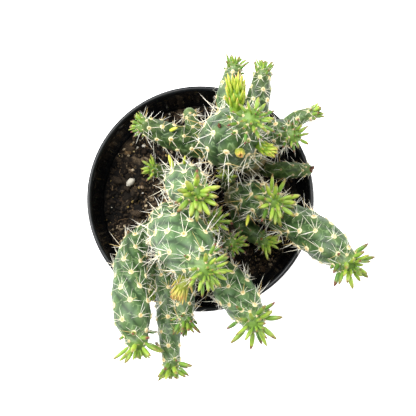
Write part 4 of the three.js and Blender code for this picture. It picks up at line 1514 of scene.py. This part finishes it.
@dataclass
class StemSkins:
    """The skins of all stems and the small cores of the buds."""

    plant: Plant
    finish: SkinFinish = SkinFinish()

    def build(self) -> list[Piece]:
        """Build a skin for each stem.

        Returns:
            One piece a stem.
        """
        material = self.finish.material()
        return [
            add_piece(f"skin_{stem.plan.name}", StemSkin(stem).mesh(), material, [stem.plan.node])
            for stem in self.plant.stems if not stem.plan.bud
        ]


@dataclass(frozen=True)
class Tuft:
    """Short needles on every cushion.

    Their roots are spread between two distances from its centre, in cushion radii. They lean away from
    outward by degrees.
    """

    number: int
    spread: Pair
    lean: Pair
    length: Pair
    width: float
    finish: SpineFinish


@dataclass
class Pads:
    """The centres of the cushions, their directions round, forward and outward, and their radii."""

    centre: Points
    frames: Points
    size: Values

    def pick(self, chosen: Values) -> "Pads":
        """Keep the chosen ones."""
        return Pads(self.centre[chosen], self.frames[chosen], self.size[chosen])

    def placed(self, points: Points) -> Points:
        """Move points from the frame of each cushion to their places."""
        return np.einsum("nij,nvj->nvi", self.frames, points) + self.centre[:, None]


@dataclass
class Areoles:
    """The woolly cushions on the tubercles, with their tufts of fine barbed bristles."""

    plant: Plant
    radius: float = 0.58
    radius_growth: float = 0.066
    young_size: float = 0.62
    old_size: float = 0.6
    thickness: float = 0.36
    tufts_above: float = 103
    draws: np.random.Generator = field(default_factory=lambda: np.random.default_rng(12))
    wool: WoolFinish = WoolFinish()
    bristles: Tuft = Tuft(12, (0.0, 0.5), (4, 38), (0.35, 0.75), 0.05, SpineFinish(
        "glochids", 0.42, shade(196, 128, 62), shade(222, 170, 96), shade(236, 200, 140)))
    hairs: Tuft = Tuft(12, (0.5, 0.9), (44, 82), (0.3, 0.65), 0.045, SpineFinish(
        "wool_hairs", 0.42, shade(230, 214, 166), shade(244, 236, 206), shade(250, 246, 228)))

    def size(self, sites: Sites) -> Values:
        """Give the radius of each cushion: small where the stem is slim, young, or old and low."""
        young = np.where(sites.row >= self.plant.stems[sites.stem].body_rows, self.young_size, 1.0)
        old = smooth_step(self.tufts_above - 12, self.tufts_above + 6, sites.peak[:, 2])
        own = (0.88 + 0.24 * sites.draw(51)) * young * (self.old_size + (1 - self.old_size) * old)
        return (self.radius + self.radius_growth * sites.radius) * own

    def build(self) -> list[Piece]:
        """Build the cushions, the bristles and the hairs.

        Returns:
            Three pieces.
        """
        found = [self.plant.open_sites(stem, stem.sites()) for stem in self.plant.stems if not stem.plan.bud]
        sizes = np.concatenate([self.size(sites) for sites in found])
        peak, outward, around, forward = (
            np.concatenate([getattr(sites, name) for sites in found])
            for name in ("peak", "outward", "round", "forward")
        )
        pads = Pads(peak, np.stack([around, forward, outward], axis=-1), sizes)
        pieces = [add_piece("areole_wool", self.cushions(pads), self.wool.material())]
        for tuft in (self.bristles, self.hairs):
            mesh = self.tufted(tuft, pads.pick(peak[:, 2] > self.tufts_above))
            pieces.append(add_piece(tuft.finish.name, mesh, tuft.finish.material()))
        return pieces

    def cushions(self, pads: Pads) -> Mesh:
        """Build the flat woolly domes.

        Args:
            pads: The cushions.

        Returns:
            One mesh with all of them.
        """
        template = Template("areole_wool", ball(9, 5))
        count = len(pads.size)
        knobs = 1 + 0.14 * self.draws.uniform(-1, 1, (count, len(template.points)))
        dome = template.points[None] * knobs[..., None]
        sizes = [pads.size, pads.size * 1.08, np.full(count, self.thickness)]
        dome = dome * np.stack(sizes, axis=-1)[:, None]
        inner = 1 - np.hypot(template.points[:, 0], template.points[:, 1])
        worn = smooth_step(self.tufts_above + 5, self.tufts_above - 13, pads.centre[:, 2])
        return template.copies(pads.placed(dome), {"heart": inner}, tint=self.draws.random(count), age=worn)

    def tufted(self, tuft: Tuft, pads: Pads) -> Mesh:
        """Build a tuft on each cushion.

        Args:
            tuft: The needles of each.
            pads: The cushions.

        Returns:
            One mesh with all the needles.
        """
        template = Template(tuft.finish.name, needle(3, ()))
        count = len(pads.size) * tuft.number
        own = pads.pick(np.repeat(np.arange(len(pads.size)), tuft.number))
        turn = self.draws.uniform(0, TURN, count)
        away = np.stack([np.cos(turn), np.sin(turn), np.zeros(count)], axis=-1)
        root = away * (self.draws.uniform(*tuft.spread, count) * own.size)[:, None]
        root[:, 2] = 0.12
        angle = self.draws.uniform(*tuft.lean, count)[:, None] * DEGREE
        direction = np.array([[0.0, 0.0, 1.0]]) * np.cos(angle) + away * np.sin(angle)
        reach = self.draws.uniform(*tuft.length, count)[:, None]
        path = np.stack([root, root + direction * reach * 0.5, root + direction * reach], axis=1)
        width = np.full(count, tuft.width)
        return strands(template, own.placed(path), width, self.draws.random(count) ** 2, False)


@dataclass
class Spines:
    """The spines: pale ones everywhere and some golden ones."""

    plant: Plant
    lengths: Pair = (2.8, 6.8)
    long_lengths: Pair = (7.0, 11.0)
    width: float = 0.08
    width_growth: float = 0.0035
    golden_share: float = 0.1
    thickness: Pair = (0.75, 1.15)
    thin_below: float = 101
    trunk_thin_below: float = 119
    head: float = 18
    crown_number: int = 3
    one_more: float = 0.6
    low_one_more: float = 0.35
    fan: float = 250
    fan_noise: float = 16
    long_share: float = 0.6
    long_leans: Pair = (28, 60)
    leans: Pair = (46, 80)
    crown_leans: Pair = (15, 55)
    short_share: float = 0.75
    foot: float = 0.45
    room: float = 0.25
    least_share: float = 0.35
    sag: float = 0.035
    draws: np.random.Generator = field(default_factory=lambda: np.random.default_rng(7))
    pale: SpineFinish = SpineFinish(
        "pale_spines", 0.42, shade(228, 218, 182), shade(252, 251, 244), shade(250, 246, 232))
    golden: SpineFinish = SpineFinish(
        "golden_spines", 0.42, shade(206, 170, 100), shade(232, 206, 140), shade(214, 170, 104))

    def build(self) -> list[Piece]:
        """Build the spines of every stem.

        Returns:
            A piece of pale spines and one of golden spines.
        """
        paths, widths = [], []
        for stem in self.plant.stems:
            if stem.plan.bud:
                continue
            path, width = self.grown(stem)
            paths.append(path)
            widths.append(width)
        path, width = np.concatenate(paths), np.concatenate(widths)
        is_golden = self.draws.random(len(path)) < self.golden_share
        pieces = []
        for finish, kept in ((self.pale, ~is_golden), (self.golden, is_golden)):
            template = Template(finish.name, needle(5, (0.35, 0.7)))
            tint = self.draws.random(kept.sum()) ** 1.5
            mesh = strands(template, path[kept], width[kept], tint)
            pieces.append(add_piece(finish.name, mesh, finish.material()))
        return pieces

    def grown(self, stem: Stem) -> tuple[Points, Values]:
        """Grow the spines of one stem, leaning back from its tip.

        Args:
            stem: The stem.

        Returns:
            Root, bend and tip of each spine, and its half width.
        """
        sites = self.plant.open_sites(stem, stem.sites())
        in_crown = sites.row >= stem.body_rows
        trunk_low = min(self.trunk_thin_below, stem.plan.line[-1][2] - self.head)
        low = sites.peak[:, 2] < (trunk_low if stem.is_trunk else self.thin_below)
        number = np.where(in_crown, self.crown_number, stem.plan.spines)
        number += self.draws.random(len(sites)) < self.one_more
        few = self.draws.random(len(sites)) < (self.one_more if stem.is_trunk else self.low_one_more)
        few = few.astype(int) + (not stem.is_trunk)
        number = np.where(low, np.minimum(number, few), number)
        own = np.repeat(np.arange(len(sites)), number)
        order = np.concatenate([np.arange(n) for n in number])
        count = len(own)
        place = (order - (number[own] - 1) / 2) / number[own]
        turn = (place * self.fan - 90 + self.draws.normal(0, self.fan_noise, count)) * DEGREE
        is_long = (order == (number[own] // 2)) & (self.draws.random(count) < self.long_share)
        lean = self.either(is_long, self.long_leans, self.leans)
        lean = np.where(in_crown[own], self.draws.uniform(*self.crown_leans, count), lean) * DEGREE
        length = self.either(is_long, self.long_lengths, self.lengths)
        length = length * np.clip(0.62 + sites.radius[own] / 22, 0, 1.08)
        length = length * np.where(in_crown[own] | low[own], self.short_share, 1)
        leaning = sites.round[own] * np.cos(turn)[:, None] + sites.forward[own] * np.sin(turn)[:, None]
        direction = sites.outward[own] * np.cos(lean)[:, None] + leaning * np.sin(lean)[:, None]
        root = sites.peak[own] + leaning * self.foot
        share = self.plant.room_for(stem.index, root, root + direction * length[:, None], self.room)
        kept = share > self.least_share
        root, length = root[kept], (length * share)[kept, None]
        tip = root + direction[kept] * length
        bend = (root + tip) / 2 + self.draws.normal(0, self.sag, (len(root), 3)) * length
        width = self.width + self.width_growth * sites.radius[own][kept]
        width = width * self.draws.uniform(*self.thickness, len(root)) * np.where(is_long[kept], 1.15, 0.95)
        return np.stack([root, bend, tip], axis=1), width

    def either(self, first: Values, if_first: Pair,
               if_not: Pair) -> Values:
        """Draw from one range where the mark is set and from the other elsewhere."""
        count = len(first)
        return np.where(first, self.draws.uniform(*if_first, count), self.draws.uniform(*if_not, count))


@dataclass
class Leaves:
    """Leaves and where they grow.

    Each has its angle above sideways and its sideways turn in degrees, its length and half width, and
    from 0 to 1 how dark it is and how red its tip is.
    """

    sites: Sites
    rise: Values
    length: Values
    width: Values
    turn: Values
    tint: Values
    blush: Values

    def pick(self, chosen: Values) -> "Leaves":
        """Keep the chosen ones."""
        rest = (self.rise, self.length, self.width, self.turn, self.tint, self.blush)
        return Leaves(self.sites.pick(chosen), *(value[chosen] for value in rest))


@dataclass
class Leafage:
    """Spindle leaves on bent paths, gathered before they become one mesh.

    A leaf with a low fullness is widest near its foot, and one with a low sharpness has a blunt tip.
    """

    fullness: float = 0.78
    sharpness: float = 0.5
    foot: float = 0.25
    bend_share: float = 0.45
    paths: list[Points] = field(default_factory=list)
    wides: list[Points] = field(default_factory=list)
    widths: list[Values] = field(default_factory=list)
    tints: list[Values] = field(default_factory=list)
    blushes: list[Values] = field(default_factory=list)

    def add(self, leaves: Leaves, droop: float) -> None:
        """Add leaves whose outer part bends back by some degrees."""
        sites = leaves.sites
        aside = unit(sites.sideways + sites.round * (leaves.turn * DEGREE)[:, None])
        start = self.lifted(aside, sites.along, leaves.rise)
        late = self.lifted(aside, sites.along, leaves.rise - droop)
        bend = sites.peak + start * (self.bend_share * leaves.length)[:, None]
        tip = bend + late * ((1 - self.bend_share) * leaves.length)[:, None]
        self.paths.append(np.stack([sites.peak - sites.outward * self.foot, bend, tip], axis=1))
        self.wides.append(sites.round)
        self.widths.append(leaves.width)
        self.tints.append(np.clip(leaves.tint, 0, 1))
        self.blushes.append(np.clip(leaves.blush, 0, 1))

    def add_one(self, root: Points, tip: Points, width: float, tint: float, blush: float) -> None:
        """Add a single leaf.

        Args:
            root: Where it starts.
            tip: Where it ends.
            width: Half its width.
            tint: How dark it is, from 0 to 1.
            blush: How red its tip is, from 0 to 1.
        """
        reach = tip - root
        bend = root + reach / 2 + np.array([0, 0, 0.12]) * np.linalg.norm(reach)
        self.paths.append(np.stack([root, bend, tip])[None])
        self.wides.append(any_across(unit(reach)[None]))
        for gathered, value in ((self.widths, width), (self.tints, tint), (self.blushes, blush)):
            gathered.append(np.array([value]))

    @staticmethod
    def lifted(aside: Points, along: Points, rise: Values) -> Points:
        """Turn a sideways direction towards the tip by some degrees."""
        angle = rise[:, None] * DEGREE
        return aside * np.cos(angle) + along * np.sin(angle)

    def piece(self, name: str, material: Material, slot: str, replaced: Sequence[str]) -> Piece:
        """Build all the leaves as one piece.

        Args:
            name: Name of the piece.
            material: Its material.
            slot: Not used.
            replaced: Nodes of the frame that it stands for.

        Returns:
            The new piece.
        """
        template = Template(name, ball(8, 7))
        share = np.arccos(np.clip(-template.points[:, 2], -1, 1)) / math.pi
        girth = np.sin(math.pi * share**self.fullness) ** self.sharpness
        ring = unit(template.points[:, :2] + 1e-9) * girth[:, None]
        ring[(share < 0.01) | (share > 0.99)] = 0
        ring[:, 1] *= 0.86
        path, wide, width, tint, blush = (
            np.concatenate(gathered)
            for gathered in (self.paths, self.wides, self.widths, self.tints, self.blushes)
        )
        points = swept(ring, share, path, wide, width)
        mesh = template.copies(points, {"along": share}, tint=tint, blush=blush)
        return add_piece(name, mesh, material, replaced)


@dataclass
class LeafCrowns:
    """The stars of leaves on the tips of the stems.

    A young whorl has its place in tip radii past the end of the centreline, its share of the way up
    from the outer leaves' lift to upright, and its shares of their length and width. An outer leaf
    stands a little below its areole, by the size of the axil.
    """

    plant: Plant
    leaf_radius: float = 1.06
    droop: float = 16
    inner_lift: float = 14
    axil: float = 0.5
    young_whorls: tuple[tuple[float, float, float, float], ...] = (
        (0.76, 0.2, 0.94, 0.95), (0.87, 0.38, 0.82, 0.88), (0.95, 0.6, 0.68, 0.75), (0.992, 0.85, 0.5, 0.6))
    kept_outer: float = 0.45
    kept_below: float = 0.55
    room: float = 0.6
    least_share: float = 0.4
    slim_tip: float = 5.2
    slim_gap: float = 0.6
    finish: LeafFinish = LeafFinish(
        "crown_leaves", 0.42, (shade(186, 206, 100), shade(162, 192, 64), shade(186, 198, 86)),
        (shade(118, 158, 74), shade(84, 130, 48), shade(106, 122, 52)), shade(112, 38, 44), 0.64)

    def width(self, stem: Stem) -> float:
        """Give half the width of a stem's leaves: short ones are narrower."""
        return self.leaf_radius * min(1, 0.5 + stem.plan.leaf / 14) * stem.plan.slim

    def build(self) -> list[Piece]:
        """Build the leaves of every crown.

        Returns:
            One piece.
        """
        leafage = Leafage()
        crowned = [stem for stem in self.plant.stems if stem.has_crown]
        for stem in crowned:
            self.grow(stem, leafage)
        replaced = [f"leaves_{stem.plan.name}" for stem in crowned]
        return [leafage.piece("crown_leaves", self.finish.material(), "leaves", replaced)]

    def grow(self, stem: Stem, leafage: Leafage) -> None:
        """Grow the outer whorls, the young whorls inside them and the last leaves below.

        Args:
            stem: The stem.
            leafage: Where the leaves are gathered.
        """
        plan, axis, ripe = stem.plan, stem.axis, stem.plan.ripe
        sites = stem.sites()
        crown = self.plant.open_sites(stem, sites.pick(sites.row >= stem.body_rows), -0.5)
        crown = crown.pick((crown.row > stem.body_rows) | (crown.draw(63) < self.kept_outer))
        inner = crown.row > stem.body_rows
        crown = replace(crown, peak=crown.peak - crown.forward * self.axil)
        self.add(stem, leafage, crown, length=1 - 0.22 * crown.draw(3), slim=1.0,
                 rise=plan.lift + np.where(inner, self.inner_lift, 0) + 9 * crown.swing(2),
                 tint=np.where(inner, 0.3, 0.6) + 0.5 * ripe + 0.35 * crown.swing(60),
                 blush=np.where(inner, 0.5, 0.85) + 0.4 * ripe + 0.3 * crown.swing(61))
        for whorl, (place, lift, length, slim) in enumerate(self.young_whorls):
            spacing = 1.2 + 0.3 * whorl + (self.slim_gap if axis.tip_radius < self.slim_tip else 0)
            column = np.arange(whorl, plan.around + whorl, spacing).astype(int)
            row = np.full(len(column), stem.body_rows + 2 + whorl)
            young = stem.sites_at(np.full(len(column), axis.length + place * axis.tip_radius), column, row)
            self.add(stem, leafage, young, rise=plan.lift + (88 - plan.lift) * lift + 9 * young.swing(2),
                     length=length * (1 - 0.25 * young.draw(3)), slim=slim,
                     tint=0.15 * whorl + 0.3 * ripe + 0.3 * young.draw(60),
                     blush=0.3 + 0.6 * ripe + 0.5 * young.swing(61))
        below = self.plant.open_sites(stem, sites.pick(sites.row == stem.body_rows - 1))
        below = below.pick(below.draw(62) < self.kept_below)
        self.add(stem, leafage, below, length=0.25 + 0.4 * below.draw(3), slim=0.8,
                 rise=plan.lift + 12 * below.swing(2),
                 tint=0.7 + 0.3 * below.draw(60), blush=0.8 + 0.2 * below.draw(61))

    def add(self, stem: Stem, leafage: Leafage, sites: Sites, slim: float, length: Values, **looks: Values
            ) -> None:
        """Add leaves where they have room, shorter ones where they don't.

        Args:
            stem: The stem that they grow on.
            leafage: Where the leaves are gathered.
            sites: Where they grow.
            slim: Share of the full width.
            length: Share of the full length of each.
            looks: Rise, tint and blush of each.
        """
        width = self.width(stem) * slim * (0.85 + 0.3 * sites.draw(5))
        leaves = Leaves(sites, length=stem.plan.leaf * length, width=width, turn=9 * sites.swing(1), **looks)
        reach = Leafage.lifted(sites.sideways, sites.along, leaves.rise - self.droop / 2)
        tips = sites.peak + reach * leaves.length[:, None]
        share = self.plant.room_for(stem.index, sites.peak, tips, self.room)
        leaves.length = leaves.length * share
        leafage.add(leaves.pick(share > self.least_share), self.droop)


@dataclass
class Buds:
    """The young shoots on the heads of the main stems, thick with narrow leaves."""

    plant: Plant
    crowding: float = 0.72
    extra_around: int = 3
    leaf_share: float = 0.13
    widths: Pair = (0.48, 0.62)
    stretch: float = 1.35
    taper: float = 0.15
    droop: float = 2.0
    core_end: float = 0.4
    core_slim: float = 0.78
    finishes: dict[Bud, LeafFinish] = field(default_factory=lambda: {
        Bud.LIME: LeafFinish(
            "lime_bud", 0.42, (shade(126, 164, 44), shade(162, 184, 52), shade(204, 204, 84)),
            (shade(100, 140, 38), shade(136, 160, 44), shade(176, 174, 62)), shade(204, 120, 84), 0.72),
        Bud.GOLD: LeafFinish(
            "gold_bud", 0.42, (shade(140, 152, 52), shade(172, 166, 66), shade(196, 168, 84)),
            (shade(112, 128, 44), shade(144, 134, 52), shade(172, 134, 66)), shade(192, 110, 76), 0.74),
    })

    def build(self) -> list[Piece]:
        """Build every bud.

        Returns:
            Two pieces a bud: its core and its leaves.
        """
        materials = {bud: finish.material() for bud, finish in self.finishes.items()}
        pieces = []
        for stem in self.plant.stems:
            if stem.plan.bud:
                pieces.extend(self.shoot(stem, materials[stem.plan.bud]))
        return pieces

    def shoot(self, stem: Stem, material: Material) -> list[Piece]:
        """Build one bud.

        Args:
            stem: The bud's stem.
            material: Its material.

        Returns:
            Its core and its leaves.
        """
        plan = replace(stem.plan, line=self.shrunk(stem.plan.line))
        stem = Stem(plan, stem.index)
        core_mesh = StemSkin(stem, cell=0.45).mesh()
        even = np.ones(len(core_mesh.vertices))
        mark_points(core_mesh, along=0.1 * even, tint=0.5 * even, blush=0 * even)
        core = add_piece(f"core_{plan.name}", core_mesh, material, [plan.node])
        dense = Stem(replace(plan, around=plan.around + self.extra_around, pitch=plan.pitch * self.crowding),
                     stem.index)
        sites = self.plant.open_sites(stem, dense.sites(), 0.0)
        young = sites.row / sites.row.max()
        leafage = Leafage(fullness=0.66, sharpness=0.8)
        leafage.add(Leaves(
            sites, rise=plan.lift + 10 + 8 * young + 6 * sites.swing(2),
            length=plan.leaf * self.stretch * (1 - 0.3 * sites.draw(3)) * (1 - self.taper * young),
            width=np.clip(self.leaf_share * plan.leaf, *self.widths) * (0.85 + 0.3 * sites.draw(5)),
            turn=12 * sites.swing(1), tint=sites.draw(60) * (1 - 0.5 * young), blush=sites.draw(61),
        ), self.droop)
        leaves = leafage.piece(f"leaflets_{plan.name}", material, plan.bud.value, [plan.node])
        return [core, leaves]

    def shrunk(self, line: Sequence[Sequence[float]]) -> tuple[tuple[float, ...], ...]:
        """Give the centreline of a bud's core: a long one ends before its leaflets do."""
        if len(line) < 3:
            return tuple(line)
        points = np.array(line, dtype=float)
        points[-1] = points[-2] + self.core_end * (points[-1] - points[-2])
        points[:, 3] *= self.core_slim
        return tuple(tuple(float(part) for part in point) for point in points)


@dataclass
class OddGrowths:
    """Single leaves away from the crowns, and the brown remains of withered buds.

    A single leaf has its root, its tip and half its width. A withered bud has its root, the way it
    points, the length of its leaves and their number.
    """

    single_leaves: tuple[tuple[tuple[float, ...], tuple[float, ...], float], ...] = (
        ((20.5, -9.4, 108.8), (19.1, -15, 112), 0.75), ((-13.1, 25.9, 108.8), (-9.2, 27.2, 110.6), 0.8),
        ((-9.9, 6, 133), (-11.7, 11.1, 136.4), 0.85), ((-5.8, 8, 131), (-5.4, 10.9, 135), 0.7))
    withered: tuple[tuple[tuple[float, ...], tuple[float, ...], float, int], ...] = (
        ((47.6, 11, 99.4), (0.9, -0.1, 0.55), 2.6, 8), ((7.7, 19, 149.4), (-0.5, 0.1, 0.85), 1.5, 6),
        ((-11.6, -35.4, 103.4), (-0.3, 0.1, 0.95), 1.6, 5), ((-17.2, -63.2, 107), (-0.8, -0.3, 0.5), 2.2, 3))
    spread: float = 0.6
    leaf_finish: LeafFinish = LeafFinish(
        "single_leaves", 0.42, (shade(196, 206, 84), shade(206, 212, 72), shade(220, 216, 96)),
        (shade(170, 190, 70), shade(180, 196, 62), shade(200, 200, 84)), shade(190, 140, 70), 0.8)
    withered_finish: LeafFinish = LeafFinish(
        "withered_buds", 0.8, (shade(120, 84, 50), shade(132, 82, 52), shade(96, 58, 40)),
        (shade(70, 44, 28), shade(80, 48, 32), shade(50, 30, 22)), shade(36, 22, 18), 0.7)

    def build(self) -> list[Piece]:
        """Build the single leaves and the withered buds.

        Returns:
            Two pieces.
        """
        leaves, remains = Leafage(fullness=0.7, sharpness=0.7), Leafage(fullness=0.7, sharpness=0.6)
        for order, (root, tip, width) in enumerate(self.single_leaves):
            leaves.add_one(np.array(root, dtype=float), np.array(tip, dtype=float), width, 0.25 * order, 0.5)
        for order, (root, way, length, number) in enumerate(self.withered):
            axis = unit(np.array(way, dtype=float))
            side = any_across(axis[None])[0]
            other = np.cross(axis, side)
            for leaf in range(number):
                turn = TURN * (leaf + 0.3 * order) / number
                aside = (side * math.cos(turn) + other * math.sin(turn)) * self.spread
                reach = unit(axis + aside) * length * (0.75 + 0.25 * math.sin(5 * leaf + order))
                foot = np.array(root, dtype=float) + aside * 0.4
                remains.add_one(foot, foot + reach, 0.22 * length, (leaf % 3) / 2, 0.6)
        return [
            leaves.piece("single_leaves", self.leaf_finish.material(), "leaves", ()),
            remains.piece("withered_buds", self.withered_finish.material(), "stem", ()),
        ]


@dataclass
class Studio:
    """Pale floor, soft light and the camera, nearly straight above the pot."""

    lens: float = 57.95
    camera_place: Triple = (3.4, -33.7, 388.2)
    camera_tilt: float = 5.5
    floor_size: float = 3000
    floor_glow: float = 0.85
    sky: float = 0.26

    def build(self) -> None:
        """Set up the floor, the lights, the world and the camera."""
        self.floor()
        self.world()
        self.light("key_light", (-220, 190, 680), 600, 9.5)
        self.light("left_window", (-620, -40, 420), 260, 2.5)
        self.light("right_window", (640, 60, 330), 260, 3.0)
        self.camera()
        bpy.context.scene.view_settings.view_transform = "Standard"

    def floor(self) -> None:
        """Lay the floor that the pot stands on."""
        shape = bmesh.new()
        bmesh.ops.create_grid(shape, x_segments=2, y_segments=2, size=self.floor_size * MM / 2)
        floor = in_scene("floor", as_mesh("floor", shape))
        floor.data.materials.append(PaperFinish(glow=self.floor_glow).material())

    def world(self) -> None:
        """Light everything softly from all around."""
        world = bpy.data.worlds.new("studio")
        world.use_nodes = True
        background = world.node_tree.nodes["Background"]
        background.inputs["Color"].default_value = (1, 1, 1, 1)
        background.inputs["Strength"].default_value = self.sky
        bpy.context.scene.world = world

    def light(self, name: str, place: Triple, size: float, power: float) -> None:
        """Hang a square soft light that points at the plant.

        Args:
            name: Name of the light.
            place: Where it hangs.
            size: Length of its side.
            power: Its power in watts.
        """
        lamp = bpy.data.lights.new(name, "AREA")
        lamp.size = size * MM
        lamp.energy = power
        holder = in_scene(name, lamp)
        holder.location = Vector(place) * MM
        aim = Vector((0, 0, 90)) - Vector(place)
        holder.rotation_euler = aim.to_track_quat("-Z", "Y").to_euler()

    def camera(self) -> None:
        """Place the camera."""
        camera = bpy.data.cameras.new("camera")
        camera.sensor_width = 36
        camera.lens = self.lens
        holder = in_scene("camera", camera)
        holder.location = Vector(self.camera_place) * MM
        holder.rotation_euler = (self.camera_tilt * DEGREE, 0, 0)
        bpy.context.scene.camera = holder


def main() -> None:
    """Build the object piece by piece and report each."""
    logging.basicConfig(level=logging.INFO, format="%(message)s")
    Studio().build()
    pot = NurseryPot()
    soil = PottingSoil(pot)
    plant = Plant(STEMS, soil)
    growths = (StemSkins(plant), Areoles(plant), Spines(plant), LeafCrowns(plant), Buds(plant), OddGrowths())
    for assembly in (pot, soil, *growths):
        for piece in assembly.build():
            LOG.info("%s: %d faces", piece.name, len(piece.data.polygons))


if __name__ == "__main__":
    main()
